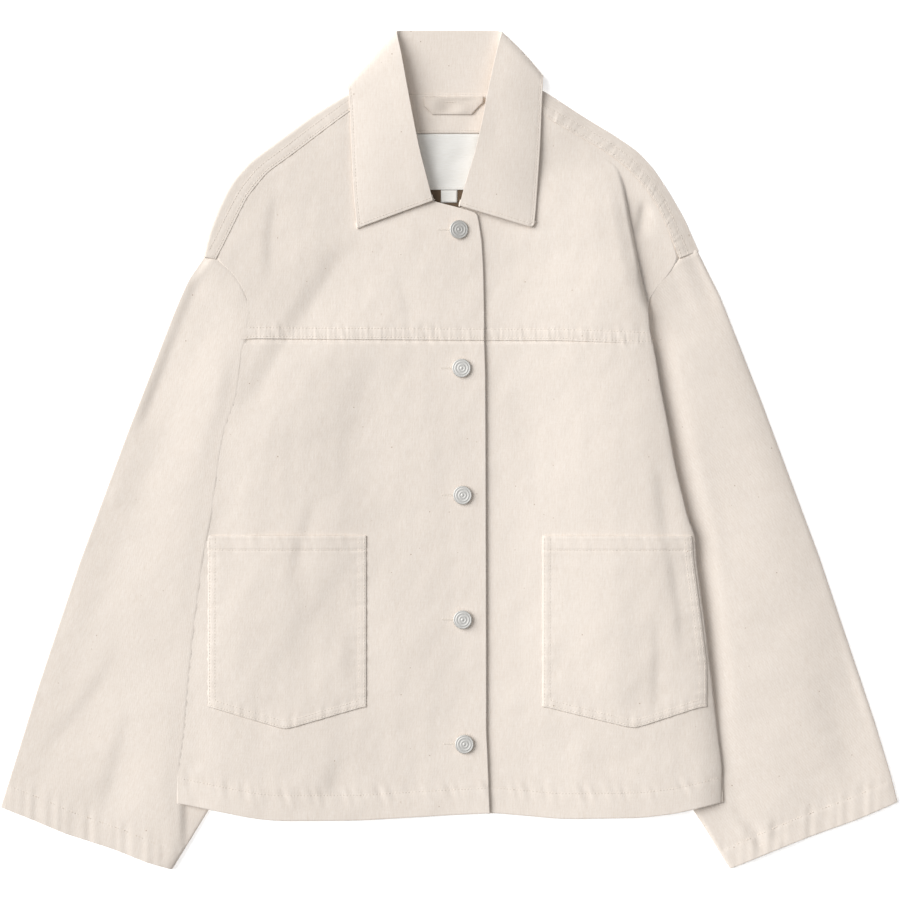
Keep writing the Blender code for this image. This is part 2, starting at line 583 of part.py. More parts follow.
def cloth(name, grids, finish, collection, wall=CLOTH):
    """An object of cloth: its grids welded into one sheet, then thickened."""
    bm = bmesh.new()
    for grid in grids:
        add_grid(bm, grid)
    bmesh.ops.remove_doubles(bm, verts=bm.verts, dist=0.00001)
    bmesh.ops.recalc_face_normals(bm, faces=bm.faces)
    mesh = bpy.data.meshes.new(name)
    bm.to_mesh(mesh)
    bm.free()
    mesh.materials.append(finish)
    mesh.shade_smooth()
    made = bpy.data.objects.new(name, mesh)
    collection.objects.link(made)
    thick = made.modifiers.new("wall", "SOLIDIFY")
    thick.thickness = wall * MM
    thick.offset = 0.0
    thick.use_even_offset = True
    return made


def button(name, place, finish, collection):
    """A tack button: its half outline turned round its own axis."""
    mesh = bpy.data.meshes.new(name)
    bm = bmesh.new()
    verts = [bm.verts.new((r * MM, 0.0, z * MM)) for r, z in BUTTON_PROFILE]
    for a, b in zip(verts, verts[1:]):
        bm.edges.new((a, b))
    bm.to_mesh(mesh)
    bm.free()
    mesh.materials.append(finish)
    made = bpy.data.objects.new(name, mesh)
    collection.objects.link(made)
    turn = made.modifiers.new("turn", "SCREW")
    turn.steps = turn.render_steps = BUTTON_SIDES
    turn.use_merge_vertices = True
    turn.merge_threshold = 0.00001
    top = right_front_height(place.x, place.y) + CLOTH / 2 + BUTTON_SEAT
    made.location = (place.x * MM, place.y * MM, top * MM)
    made.rotation_euler = Euler((0.0, math.radians(place.tilt), 0.0))
    return made


def build():
    """Make every piece of the jacket."""
    for old in list(bpy.data.objects):
        bpy.data.objects.remove(old, do_unlink=True)
    jacket = bpy.data.collections.new("denim_jacket")
    bpy.context.scene.collection.children.link(jacket)
    denim = material("undyed_denim", (0.80, 0.74, 0.66), 0.9)
    label_cloth = material("woven_label", (0.82, 0.79, 0.73), 0.7)
    nickel = material("nickel_button", (0.62, 0.62, 0.60), 0.35, 1.0)

    lower_back, upper_back = back_grids()
    cloth("back_panel", [lower_back, upper_back], denim, jacket)
    cloth("front_right_yoke", [right_yoke_grid()], denim, jacket)
    cloth("front_left_yoke", [left_yoke_grid()], denim, jacket)

    left_rows = tuple(row for row in LEFT_BODY_EDGE if row.y <= YOKE_SEAM_Y)
    right_body = body_grid(RIGHT_BODY_ROWS, RIGHT_COLUMNS, right_front_height, -1.0)
    left_body = body_grid(left_rows, LEFT_COLUMNS, left_front_height, 1.0)
    cloth("front_right_panel", [right_body], denim, jacket)
    cloth("front_left_panel", [left_body], denim, jacket)

    cloth("sleeve_right", [sleeve_rings(RIGHT_SLEEVE)], denim, jacket)
    cloth("sleeve_left", [sleeve_rings(LEFT_SLEEVE)], denim, jacket)
    cloth("collar", [collar_grid()], denim, jacket)

    cloth("pocket_right", [pocket_grid(RIGHT_BODY_ROWS, RIGHT_COLUMNS, RIGHT_POCKET_COLUMNS,
                                       RIGHT_POCKET, right_front_height)], denim, jacket)
    cloth("pocket_left", [pocket_grid(left_rows, LEFT_COLUMNS, LEFT_POCKET_COLUMNS,
                                      LEFT_POCKET, left_front_height)], denim, jacket)

    on_back = CLOTH + LAYER_GAP
    label_lift = CLOTH / 2 + LAYER_GAP + LABEL_CLOTH / 2
    cloth("neck_facing", [patch_grid(NECK_FACING, on_back, 11, 5)], denim, jacket)
    cloth("hanger_loop", [patch_grid(HANGER_LOOP, 2 * on_back, 7, 4, LOOP_TAPER)], denim, jacket)
    cloth("label", [patch_grid(LABEL, label_lift, 5, 7)], label_cloth, jacket, LABEL_CLOTH)
    cloth("size_tab", [patch_grid(SIZE_TAB, label_lift, 3, 3)], label_cloth, jacket, LABEL_CLOTH)

    for number, place in enumerate(BUTTONS, start=1):
        button(f"button_{number}", place, nickel, jacket)


build()
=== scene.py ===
"""Looks for a boxy undyed denim jacket, laid flat and buttoned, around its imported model.

Frame: metres, +X to the viewer's right, +Y towards the collar, +Z up from the
surface that the jacket lies on.  Sizes below are in millimetres, and a mesh is
turned to metres when it is made.  "left" and "right" are the wearer's: the
wearer's right front is at negative X and laps over the left one.
"""
import logging
import math
from dataclasses import dataclass, field
from enum import Enum
from typing import Any, Callable, NamedTuple, Sequence

import bpy
import numpy as np
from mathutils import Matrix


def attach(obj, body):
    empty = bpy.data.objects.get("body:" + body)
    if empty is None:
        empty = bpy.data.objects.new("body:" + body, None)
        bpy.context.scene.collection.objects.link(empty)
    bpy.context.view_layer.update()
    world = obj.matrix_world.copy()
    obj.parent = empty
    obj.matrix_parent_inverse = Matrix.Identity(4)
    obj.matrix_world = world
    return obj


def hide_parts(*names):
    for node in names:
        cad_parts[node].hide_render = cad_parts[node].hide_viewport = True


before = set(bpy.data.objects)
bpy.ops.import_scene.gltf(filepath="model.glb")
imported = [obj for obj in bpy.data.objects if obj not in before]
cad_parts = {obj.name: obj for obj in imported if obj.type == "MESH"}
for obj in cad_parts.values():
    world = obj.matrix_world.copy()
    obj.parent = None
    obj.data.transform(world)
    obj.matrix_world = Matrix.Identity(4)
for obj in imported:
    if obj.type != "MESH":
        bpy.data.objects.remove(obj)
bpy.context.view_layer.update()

MM = 0.001
ROOT = "root"

Array = np.ndarray
Route = Sequence[tuple[float, float]]
Surface = Callable[[Array, Array], Array]

log = logging.getLogger("jacket")


class Side(Enum):
    """Which of the wearer's sides a piece is on; the value is the sign of X."""

    RIGHT = -1.0
    LEFT = 1.0

    def pick(self, right: Any, left: Any) -> Any:
        """The first of two values on the right, the second on the left."""
        return right if self is Side.RIGHT else left

    @property
    def word(self) -> str:
        """How a piece's name says it."""
        return self.pick("right", "left")


class Slot(Enum):
    """Material slots."""

    DENIM = "denim"
    LABEL = "label_cloth"
    METAL = "button_metal"


# Tables of the laid-out jacket -----------------------------------------------------
class Ramp(NamedTuple):
    """Where along Y a layer climbs onto a sleeve: it starts and runs down."""

    start: float
    run: float


class FrontRow(NamedTuple):
    """A row across a front: its inner edge and its outer edge."""

    y: float
    inner: float
    outer: float


class PleatRow(NamedTuple):
    """A row across the left yoke, with its pleat's fold and height."""

    y: float
    inner: float
    fold: float
    outer: float
    pleat: float


class ShoulderRow(NamedTuple):
    """The roll's outline and the forward seam on both shoulders."""

    edge_r_x: float
    edge_r_y: float
    seam_r_x: float
    seam_r_y: float
    edge_l_x: float
    edge_l_y: float
    seam_l_x: float
    seam_l_y: float
    dip: float


class BackRow(NamedTuple):
    """A row across the back below the shoulders."""

    y: float
    right: float
    left: float


class Spot(NamedTuple):
    """A place in plan."""

    x: float
    y: float


class CollarRow(NamedTuple):
    """A section of the collar: neck seam, roll, free edge and its directions."""

    neck_x: float
    neck_y: float
    neck_z: float
    roll_x: float
    roll_y: float
    roll_z: float
    edge_x: float
    edge_y: float
    edge_z: float
    over: float
    out: float


class Patch(NamedTuple):
    """A small flat piece's edges in plan."""

    x_low: float
    x_high: float
    y_low: float
    y_high: float


class RollRow(NamedTuple):
    """How the left front rolls over its side fold."""

    y: float
    run: float      # how far in it starts to sink
    tight: float    # and to turn down
    turn: float     # share of the fall that is in the turn
    rise: float     # how much higher it is there than at the fold
    wall: float     # how much higher the fold is than one pressed flat


class PocketShape(NamedTuple):
    """A patch pocket: its sides, mouth, lower corners and point."""

    x_low: float
    x_high: float
    top: float
    side_bottom: float
    point: float
    point_x: float


class ButtonPlace(NamedTuple):
    """A button's centre and how far it leans, in degrees."""

    x: float
    y: float
    tilt: float


YOKE_SEAM_Y = 103.1
YOKE_STITCHES = (-2.2, -10.5)   # rows of topstitching above that seam
HEM_DEPTH = 23.0
SKIN = 0.6                      # from the middle of a layer to its upper face
SHELL = 0.9                     # thickness of denim as it shows

ROLL_ROWS = (RollRow(190.0, 20.0, 6.0, 0.35, 3.0, 2.0), RollRow(60.0, 28.0, 7.0, 0.4, 3.6, 3.2),
             RollRow(-40.0, 36.0, 7.0, 0.35, 4.2, 3.0), RollRow(-150.0, 56.0, 7.0, 0.25, 6.6, 2.2),
             RollRow(-220.0, 56.0, 14.0, 0.4, 7.0, 0.4), RollRow(-270.0, 52.0, 24.0, 0.7, 7.2, -3.0),
             RollRow(-340.0, 50.0, 26.0, 0.75, 7.0, -4.0))

BACK_RAMP = Ramp(116.0, 28.0)
RIGHT_RAMP = Ramp(140.0, 60.0)
LEFT_RAMP = Ramp(190.0, 70.0)

# Wearer's right front: neckline and placket edge inside; forward seam, armhole
# seam and side fold outside.
RIGHT_YOKE_ROWS = (
    FrontRow(340.0, -67.0, -71.0),
    FrontRow(325.0, -62.0, -87.0),
    FrontRow(301.6, -56.5, -119.0),
    FrontRow(278.8, -49.0, -149.0),
    FrontRow(262.0, -42.0, -172.5),
    FrontRow(240.0, -25.0, -190.5),
    FrontRow(234.6, -13.0, -193.4),
    FrontRow(229.1, 9.0, -196.2),
    FrontRow(225.2, 24.0, -198.2),
    FrontRow(223.4, 26.4, -199.1),
    FrontRow(219.0, 27.6, -201.3),
    FrontRow(209.5, 29.2, -205.9),
    FrontRow(197.6, 31.0, -211.7),
    FrontRow(181.0, 32.0, -220.2),
    FrontRow(168.6, 32.6, -205.9),
    FrontRow(158.2, 32.8, -198.3),
    FrontRow(142.0, 33.2, -190.7),
    FrontRow(117.3, 33.5, -193.5),
)

RIGHT_BODY_ROWS = (
    FrontRow(YOKE_SEAM_Y, 33.5, -198.7),
    FrontRow(88.0, 34.0, -200.5),
    FrontRow(70.0, 34.5, -202.5),
    FrontRow(47.0, 34.5, -205.4),
    FrontRow(18.5, 34.7, -215.8),
    FrontRow(-7.0, 34.8, -220.6),
    FrontRow(-58.0, 35.0, -227.2),
    FrontRow(-81.5, 35.0, -232.0),
    FrontRow(-98.0, 35.1, -235.3),
    FrontRow(-175.0, 35.3, -244.8),
    FrontRow(-243.0, 35.4, -251.5),
    FrontRow(-267.0, 35.4, -252.9),
    FrontRow(-299.0, 37.0, -257.6),
    FrontRow(-334.0, 38.6, -257.6),
)

# Wearer's left front, with a soft pleat that runs down from the shoulder.
LEFT_YOKE_ROWS = (
    PleatRow(330.0, 64.0, 67.0, 71.0, 0.0),
    PleatRow(314.0, 60.0, 86.0, 92.0, 0.0),
    PleatRow(301.0, 55.0, 108.0, 115.0, 0.0),
    PleatRow(284.0, 49.0, 137.0, 145.0, 0.0),
    PleatRow(267.4, 43.0, 160.0, 167.6, 0.2),
    PleatRow(248.0, 32.0, 166.3, 185.6, 1.4),
    PleatRow(229.0, 12.0, 169.5, 198.0, 2.6),
    PleatRow(222.0, -10.0, 170.7, 201.0, 2.8),
    PleatRow(205.2, -10.0, 174.0, 208.4, 3.2),
    PleatRow(181.0, -10.0, 178.7, 216.0, 3.4),
    PleatRow(168.0, -10.0, 181.3, 209.0, 3.0),
    PleatRow(154.4, -10.0, 184.0, 197.0, 2.2),
)

LEFT_BODY_EDGE = (
    FrontRow(140.0, -10.0, 188.2),
    FrontRow(117.3, -10.0, 189.8),
    FrontRow(YOKE_SEAM_Y, -10.0, 192.7),
    FrontRow(88.0, -10.0, 195.2),
    FrontRow(62.7, -10.0, 199.3),
    FrontRow(24.2, -10.0, 206.9),
    FrontRow(-13.8, -10.0, 213.6),
    FrontRow(-64.1, -10.0, 225.9),
    FrontRow(-81.5, -10.0, 232.6),
    FrontRow(-105.0, -10.0, 234.0),
    FrontRow(-165.8, -10.0, 242.1),
    FrontRow(-243.0, -10.0, 251.7),
    FrontRow(-265.0, -10.0, 254.4),
    FrontRow(-300.0, -10.0, 259.0),
    FrontRow(-333.0, -10.0, 258.6),
)

# The hem's curve.
HEM = (
    Spot(-257.0, -334.0), Spot(-228.0, -339.6), Spot(-185.0, -348.2),
    Spot(-162.0, -350.4), Spot(-85.0, -350.4), Spot(10.0, -344.9),
    Spot(40.0, -343.4), Spot(105.0, -348.7), Spot(181.0, -347.2),
    Spot(213.0, -343.4), Spot(241.0, -337.0), Spot(259.0, -332.6),
)

# The back where it rolls over the shoulders, from the armholes to the neck.
SHOULDER_ROWS = (
    ShoulderRow(-233.6, 181.0, -222.0, 179.0, 238.0, 186.0, 218.8, 179.6, 0.0),
    ShoulderRow(-228.2, 205.2, -212.3, 197.6, 223.1, 219.9, 209.1, 205.2, 0.0),
    ShoulderRow(-217.7, 232.3, -200.0, 222.6, 208.8, 244.6, 198.7, 229.4, 0.0),
    ShoulderRow(-205.4, 255.1, -190.8, 240.4, 193.6, 267.4, 186.0, 248.4, 0.0),
    ShoulderRow(-189.2, 273.1, -173.0, 262.4, 178.4, 283.6, 168.0, 268.0, 0.0),
    ShoulderRow(-164.5, 291.2, -149.6, 279.2, 156.1, 298.8, 145.4, 284.4, 7.0),
    ShoulderRow(-127.0, 318.7, -119.4, 302.1, 126.2, 316.8, 115.4, 301.4, 12.0),
    ShoulderRow(-92.0, 339.4, -87.3, 325.6, 92.4, 338.6, 92.4, 314.4, 18.0),
    ShoulderRow(-70.0, 350.0, -71.3, 340.4, 70.0, 350.0, 71.4, 330.6, 16.8),
)

# The back below the shoulders: armholes, then the side folds.
BACK_ROWS = (
    BackRow(179.5, -220.8, 219.4),
    BackRow(173.5, -212.9, 214.4),
    BackRow(168.0, -205.7, 209.6),
    BackRow(154.0, -195.6, 196.6),
    BackRow(142.0, -190.4, 192.6),
    BackRow(117.0, -189.0, 189.0),
    BackRow(100.0, -187.0, 187.0),
    BackRow(86.0, -183.0, 183.0),
    BackRow(72.0, -180.0, 180.0),
    BackRow(55.0, -186.0, 186.0),
    BackRow(38.0, -200.0, 198.0),
    BackRow(18.5, -215.7, 208.0),
    BackRow(-7.0, -220.5, 212.4),
    BackRow(-58.0, -227.1, 224.0),
    BackRow(-98.0, -235.2, 233.4),
    BackRow(-175.0, -244.7, 243.2),
    BackRow(-267.0, -252.8, 254.6),
    BackRow(-334.0, -257.4, 258.4),
)

# Sleeves, each between four edges in plan.
RIGHT_SLEEVE = {
    "armhole": (Spot(-232.9, 181.9), Spot(-221.5, 179.1),
                Spot(-206.3, 168.2), Spot(-198.9, 158.0),
                Spot(-191.3, 142.0), Spot(-188.0, 125.0),
                Spot(-184.0, 108.0), Spot(-179.0, 93.0), Spot(-172.0, 80.0)),
    "cuff": (Spot(-425.1, -338.5), Spot(-395.4, -350.1),
             Spot(-364.0, -363.4), Spot(-319.4, -377.6),
             Spot(-285.2, -390.9), Spot(-262.5, -397.6)),
    "outer": (Spot(-232.9, 181.9), Spot(-247.8, 160.1), Spot(-260.0, 132.5),
              Spot(-305.0, 17.0), Spot(-351.0, -107.0),
              Spot(-390.0, -224.0), Spot(-425.1, -338.5)),
    "inner": (Spot(-172.0, 80.0), Spot(-166.0, 20.0), Spot(-164.0, -80.0),
              Spot(-166.0, -160.0), Spot(-176.0, -230.0),
              Spot(-200.0, -296.0), Spot(-227.2, -340.6),
              Spot(-262.5, -397.6)),
}

LEFT_SLEEVE = {
    "armhole": (Spot(236.9, 187.2), Spot(217.4, 179.0), Spot(207.0, 168.0),
                Spot(193.0, 152.0), Spot(184.0, 136.0), Spot(183.0, 103.0),
                Spot(182.0, 90.0), Spot(172.0, 80.0)),
    "cuff": (Spot(425.1, -333.6), Spot(386.5, -350.1), Spot(339.0, -367.2),
             Spot(301.0, -382.4), Spot(266.0, -397.0)),
    "outer": (Spot(236.9, 187.2), Spot(257.3, 144.9), Spot(295.3, 48.9),
              Spot(352.0, -103.0), Spot(403.7, -257.0),
              Spot(417.8, -304.5), Spot(425.1, -333.6)),
    "inner": (Spot(172.0, 80.0), Spot(166.0, 20.0), Spot(164.0, -80.0),
              Spot(166.0, -160.0), Spot(178.0, -235.0),
              Spot(204.0, -298.0), Spot(231.6, -342.1),
              Spot(266.0, -397.0)),
}

# The collar, from the wearer's right front point round the neck to the left one.
COLLAR_RIGHT_HALF = (
    CollarRow(-14.2, 236.4, 7.9, -15.4, 236.0, 11.2, -86.6, 210.4, 7.0, 12.0, 90.0),
    CollarRow(-23.2, 243.4, 6.6, -20.4, 255.0, 13.8, -88.8, 229.0, 7.0, 12.0, 90.0),
    CollarRow(-40.4, 264.8, 5.6, -28.0, 284.0, 16.4, -91.0, 258.0, 7.2, 12.0, 90.0),
    CollarRow(-51.6, 291.0, 6.8, -34.2, 315.0, 17.8, -92.2, 286.0, 7.9, 12.0, 90.0),
    CollarRow(-57.6, 312.0, 7.4, -40.0, 346.0, 17.2, -93.0, 312.0, 8.7, 12.0, 90.0),
    CollarRow(-60.6, 326.0, 6.9, -44.8, 373.0, 14.4, -94.2, 333.0, 8.8, 16.0, 82.0),
    CollarRow(-61.5, 334.0, 6.0, -48.4, 390.0, 10.0, -95.4, 342.0, 8.3, 32.0, 55.0),
    CollarRow(-61.5, 339.0, 4.9, -49.8, 397.0, 5.8, -96.2, 345.4, 4.7, 55.0, 0.0),
    CollarRow(-59.0, 337.0, 3.6, -46.5, 397.6, 2.6, -94.0, 343.6, 1.1, 82.0, -65.0),
    CollarRow(-50.0, 333.9, 2.6, -40.0, 397.6, 1.6, -84.0, 334.0, 0.6, 90.0, -90.0),
    CollarRow(-25.0, 333.5, 2.6, -20.0, 397.8, 1.6, -44.0, 322.0, 0.6, 90.0, -90.0),
)

COLLAR_BACK = CollarRow(0.0, 333.5, 2.6, 0.0, 397.9, 1.6, 0.0, 319.0, 0.6, 90.0, -90.0)

COLLAR_LEFT_HALF = (
    CollarRow(25.0, 333.5, 2.6, 20.0, 397.8, 1.6, 42.0, 322.0, 0.6, 90.0, -90.0),
    CollarRow(50.0, 333.9, 2.6, 40.0, 397.6, 1.6, 76.0, 338.0, 0.6, 90.0, -90.0),
    CollarRow(59.0, 337.0, 3.6, 46.5, 397.4, 2.6, 86.4, 352.4, 1.1, 98.0, -65.0),
    CollarRow(61.5, 338.0, 4.9, 50.2, 396.2, 4.7, 89.0, 355.0, 4.7, 125.0, 0.0),
    CollarRow(61.5, 331.0, 6.0, 48.0, 390.0, 7.2, 88.6, 350.0, 8.3, 148.0, 55.0),
    CollarRow(60.6, 323.0, 6.9, 43.4, 371.0, 9.6, 87.8, 337.0, 8.8, 164.0, 82.0),
    CollarRow(56.6, 306.0, 7.4, 36.6, 340.0, 12.6, 86.8, 312.0, 9.9, 168.0, 90.0),
    CollarRow(50.0, 287.0, 6.8, 30.8, 309.0, 13.2, 85.6, 286.0, 9.5, 167.0, 90.0),
    CollarRow(41.4, 266.0, 5.4, 24.0, 280.0, 12.6, 83.8, 258.0, 9.0, 164.0, 90.0),
    CollarRow(31.0, 249.4, 5.4, 15.8, 254.0, 11.8, 81.8, 229.0, 9.4, 164.0, 90.0),
    CollarRow(11.8, 234.0, 7.9, 9.8, 231.4, 10.8, 79.8, 210.4, 10.2, 164.0, 90.0),
)

NECK_FACING = Patch(-50.0, 50.0, 299.7, 332.6)
LABEL = Patch(-32.5, 29.3, 246.5, 299.3)
SHADE_SHEET_BELOW_LABEL = Patch(-40.0, 38.0, 218.0, 247.0)       # dark sheet below the label: painted shade where the back's inside lies in shadow
SIZE_TAB = Patch(-7.8, 7.9, 234.2, 246.2)
HANGER_LOOP = Patch(-23.9, 33.0, 317.6, 334.4)

RIGHT_POCKET = PocketShape(-228.9, -78.4, -81.5, -243.0, -265.1, -155.0)
LEFT_POCKET = PocketShape(88.0, 238.0, -81.5, -243.0, -263.6, 174.6)

BUTTONS = (
    ButtonPlace(8.9, 208.1, 9.0),
    ButtonPlace(11.7, 77.0, 0.0),
    ButtonPlace(12.6, -43.2, 0.0),
    ButtonPlace(12.7, -161.0, 0.0),
    ButtonPlace(14.4, -278.8, 0.0),
)

# Small sums -------------------------------------------------------------------------
def smooth(share: Array) -> Array:
    """Ease from 0 to 1 as share does."""
    t = np.clip(share, 0.0, 1.0)
    return t * t * (3.0 - 2.0 * t)


def bowed(u: Array) -> Array:
    """From 0 to 1, steepest at the start."""
    return 1.0 - (1.0 - np.clip(u, 0.0, 1.0)) ** 2


def rounded(share: Array) -> Array:
    """Quarter-circle ease from 0 to 1: steep at first, level at the end."""
    t = 1.0 - np.clip(share, 0.0, 1.0)
    return np.sqrt(np.maximum(1.0 - t * t, 0.0))


def bell(across: Array, width: float) -> Array:
    """A soft bump, 1 in the middle."""
    return np.exp(-((across / width) ** 2))


def soft_read(at: Array, places: Sequence[float], values: Sequence[float],
              soften: float = 5.0) -> Array:
    """Read a table between its rows, with its corners rounded.

    Args:
        at: Where to read.
        places: The rows' places, in any order.
        values: The rows' values.
        soften: How far a corner is spread, in the units of places.

    Returns:
        The values at each place.
    """
    order = np.argsort(places)
    xs, ys = np.asarray(places, float)[order], np.asarray(values, float)[order]
    total, weights = np.zeros_like(np.asarray(at, float)), 0.0
    for step in np.linspace(-1.6, 1.6, 9):
        weight = math.exp(-step * step)
        total += weight * np.interp(np.clip(at + step * soften, xs[0], xs[-1]), xs, ys)
        weights += weight
    return total / weights


def column(rows: Sequence[NamedTuple], name: str, y: Array, soften: float = 5.0) -> Array:
    """Read a named column of a table at heights y."""
    return soft_read(y, [row.y for row in rows], [getattr(row, name) for row in rows], soften)


def lines_between(start: float, stop: float, step: float, fine_at: Sequence[float] = (),
                  fine: float = 1.0, reach: float = 4.0) -> Array:
    """Places of grid lines, closer together near some of them.

    Args:
        start: First line.
        stop: Last line.
        step: Usual spacing.
        fine_at: Places with finer lines round them.
        fine: Spacing there.
        reach: How far from such a place the fine lines go.

    Returns:
        The places, from start to stop.
    """
    way = 1.0 if stop > start else -1.0
    places, at = [start], start
    while (stop - at) * way > 1e-6:
        near = min((abs(at - place) for place in fine_at), default=1e9)
        at += way * (fine if near <= reach else step)
        places.append(at)
    places[-1] = stop
    return np.array(places)


def route_lengths(route: Array) -> Array:
    """Length along a route at each of its points."""
    steps = np.linalg.norm(np.diff(route, axis=0), axis=1)
    return np.concatenate([[0.0], np.cumsum(steps)])


def along_route(route: Array, at: Array) -> Array:
    """Points of a route at given lengths along it."""
    run = route_lengths(route)
    return np.stack([np.interp(at, run, route[:, k]) for k in range(route.shape[1])], axis=1)


def rounded_route(route: Route, soften: float = 4.0, step: float = 3.0) -> Array:
    """A route with its corners rounded and its points evenly spaced.

    Args:
        route: Points in plan.
        soften: How far a corner is spread.
        step: Spacing of the points made.

    Returns:
        The points, an array of (x, y).
    """
    points = np.asarray(route, float)
    run = route_lengths(points)
    at = np.linspace(0.0, run[-1], max(int(run[-1] / step), 2) + 1)
    room = np.minimum(np.minimum(at, run[-1] - at), soften)
    total, weights = np.zeros((len(at), 2)), 0.0
    for offset in np.linspace(-1.6, 1.6, 7):
        weight = math.exp(-offset * offset)
        total += weight * along_route(points, at + offset / 1.6 * room)
        weights += weight
    return total / weights


def from_route(route: Array, x: Array, y: Array) -> tuple[Array, Array]:
    """Where places lie beside a route.

    Args:
        route: Points in plan.
        x: Places' X.
        y: Places' Y.

    Returns:
        The distance from the route, positive to its left, and the length along it.
    """
    run = route_lengths(route)
    best = np.full(np.shape(x), 1e9)
    side, along = np.zeros(np.shape(x)), np.zeros(np.shape(x))
    for k in range(len(route) - 1):
        ax, ay = route[k]
        dx, dy = route[k + 1] - route[k]
        length = math.hypot(dx, dy)
        if length < 1e-9:
            continue
        t = np.clip(((x - ax) * dx + (y - ay) * dy) / length**2, 0.0, 1.0)
        away = np.hypot(x - ax - t * dx, y - ay - t * dy)
        nearer = away < best
        sign = np.sign(dx * (y - ay) - dy * (x - ax))
        side = np.where(nearer, sign * away, side)
        along = np.where(nearer, run[k] + t * length, along)
        best = np.minimum(best, away)
    return side, along


def near_only(route: Array, reach: float, x: Array, y: Array, rise: Surface) -> Array:
    """Work out a height only near a route, where it isn't 0.

    Args:
        route: Points in plan.
        reach: How far from its box the height goes.
        x: Places' X.
        y: Places' Y.
        rise: The height near the route.

    Returns:
        The height at each place.
    """
    (low_x, low_y), (high_x, high_y) = route.min(axis=0) - reach, route.max(axis=0) + reach
    x, y = np.broadcast_arrays(x, y)
    near = (x > low_x) & (x < high_x) & (y > low_y) & (y < high_y)
    total = np.zeros(x.shape)
    if near.any():
        total[near] = rise(x[near], y[near])
    return total


def beside(route: Array, offset: float) -> Array:
    """A route moved sideways, positive to its left."""
    way = np.gradient(route, axis=0)
    way /= np.linalg.norm(way, axis=1)[:, None]
    return route + offset * np.stack([-way[:, 1], way[:, 0]], axis=1)


def wobble(at: Array, wave: float, seed: int) -> Array:
    """An uneven wave from about -1 to 1.

    Args:
        at: Where along it.
        wave: Its usual wavelength.
        seed: Chooses its phases.

    Returns:
        Its height at each place.
    """
    draw = np.random.default_rng(seed)
    total = np.zeros_like(np.asarray(at, float))
    for ratio, share in ((1.0, 0.5), (0.73, 0.35), (1.41, 0.3), (0.31, 0.25), (1.9, 0.12)):
        total += share * np.sin(2.0 * math.pi * at * ratio / wave + draw.uniform(0.0, 6.28))
    return total


def unevenness(x: Array, y: Array, size: float, seed: int, waves: int = 22) -> Array:
    """Soft random height over a surface, about -1 to 1.

    Args:
        x: Places' X.
        y: Places' Y.
        size: Usual size of a hump.
        seed: Chooses the humps.
        waves: How many waves make it up.

    Returns:
        The height at each place.
    """
    draw = np.random.default_rng(seed)
    total = np.zeros(np.shape(x))
    for _ in range(waves):
        turn, phase = draw.uniform(0.0, 6.28), draw.uniform(0.0, 6.28)
        rate = 2.0 * math.pi / (size * draw.uniform(1.2, 3.2))
        total += np.sin((x * math.cos(turn) + y * math.sin(turn)) * rate + phase)
    return total / math.sqrt(waves)


# Shape of the cloth -----------------------------------------------------------------
@dataclass(frozen=True)
class Crease:
    """A soft trough (depth below 0) or ridge along a given path.

    lee is how many times wider it is on its left side than on its right one.
    """

    path: Route
    width: float
    depth: float
    lee: float = 2.5
    fade: float = 0.35

    def height(self, x: Array, y: Array) -> Array:
        """Height it adds at each place."""
        route = rounded_route(self.path, soften=12.0, step=8.0)
        reach = 2.6 * self.width * max(self.lee, 1.0)
        return near_only(route, reach, x, y, lambda u, v: self.profile(route, u, v))

    def profile(self, route: Array, x: Array, y: Array) -> Array:
        """Height it adds at places near its route.

        Args:
            route: Its points in plan.
            x: Places' X.
            y: Places' Y.

        Returns:
            The height at each place.
        """
        side, along = from_route(route, x, y)
        length = route_lengths(route)[-1]
        run = max(self.fade * length, 1.0)
        ends = smooth(along / run) * smooth((length - along) / run)
        width = np.where(side > 0.0, self.width * self.lee, self.width)
        return self.depth * ends * bell(side, width)


@dataclass(frozen=True)
class Seam:
    """A sewn line: rows of stitching beside it, a raised welt and puckers between."""

    path: Route
    rows: tuple[float, ...]     # distance of each row of stitches, positive to the left
    welt: float = 0.35          # rise of the folded cloth between the seam and the rows
    groove: float = 0.3         # how deep the thread pulls in
    pucker: float = 0.3
    wave: float = 11.0
    reach: float = 6.0          # how far puckers go past the outer row
    seed: int = 1
    gather: float = 0.0         # fine ridges straight across the rows, one for each stitch or so
    soften: float = 4.0

    def route(self) -> Array:
        """Its path, rounded."""
        return rounded_route(self.path, soften=self.soften)

    def height(self, x: Array, y: Array) -> Array:
        """Height it adds at each place."""
        route = self.route()
        reach = max(abs(row) for row in self.rows) + self.reach + 5.0
        return near_only(route, reach, x, y, lambda u, v: self.profile(route, u, v))

    def profile(self, route: Array, x: Array, y: Array) -> Array:
        """Height it adds at places near its route.

        Args:
            route: Its points in plan.
            x: Places' X.
            y: Places' Y.

        Returns:
            The height at each place.
        """
        side, along = from_route(route, x, y)
        length = route_lengths(route)[-1]
        inside = (along > 0.01) & (along < length - 0.01)
        low, high = min((0.0, *self.rows)), max((0.0, *self.rows))
        middle, half = 0.5 * (low + high), 0.5 * (high - low)
        past = np.abs(side - middle) - half
        raised = self.welt * smooth(1.0 - (past + 1.0) / 2.0)
        grooves = sum(bell(side - row, 1.3) for row in self.rows)
        slant = along + 0.35 * side
        fold = wobble(slant, self.wave, self.seed) * (0.65 + 0.35 * wobble(along, 70.0, self.seed + 7))
        puckers = self.pucker * fold * smooth(1.0 - past / self.reach)
        puckers = puckers + self.gather * wobble(along, 4.4, self.seed + 2) * smooth(1.0 - past / 2.5)
        return np.where(inside, raised - self.groove * grooves + puckers, 0.0)


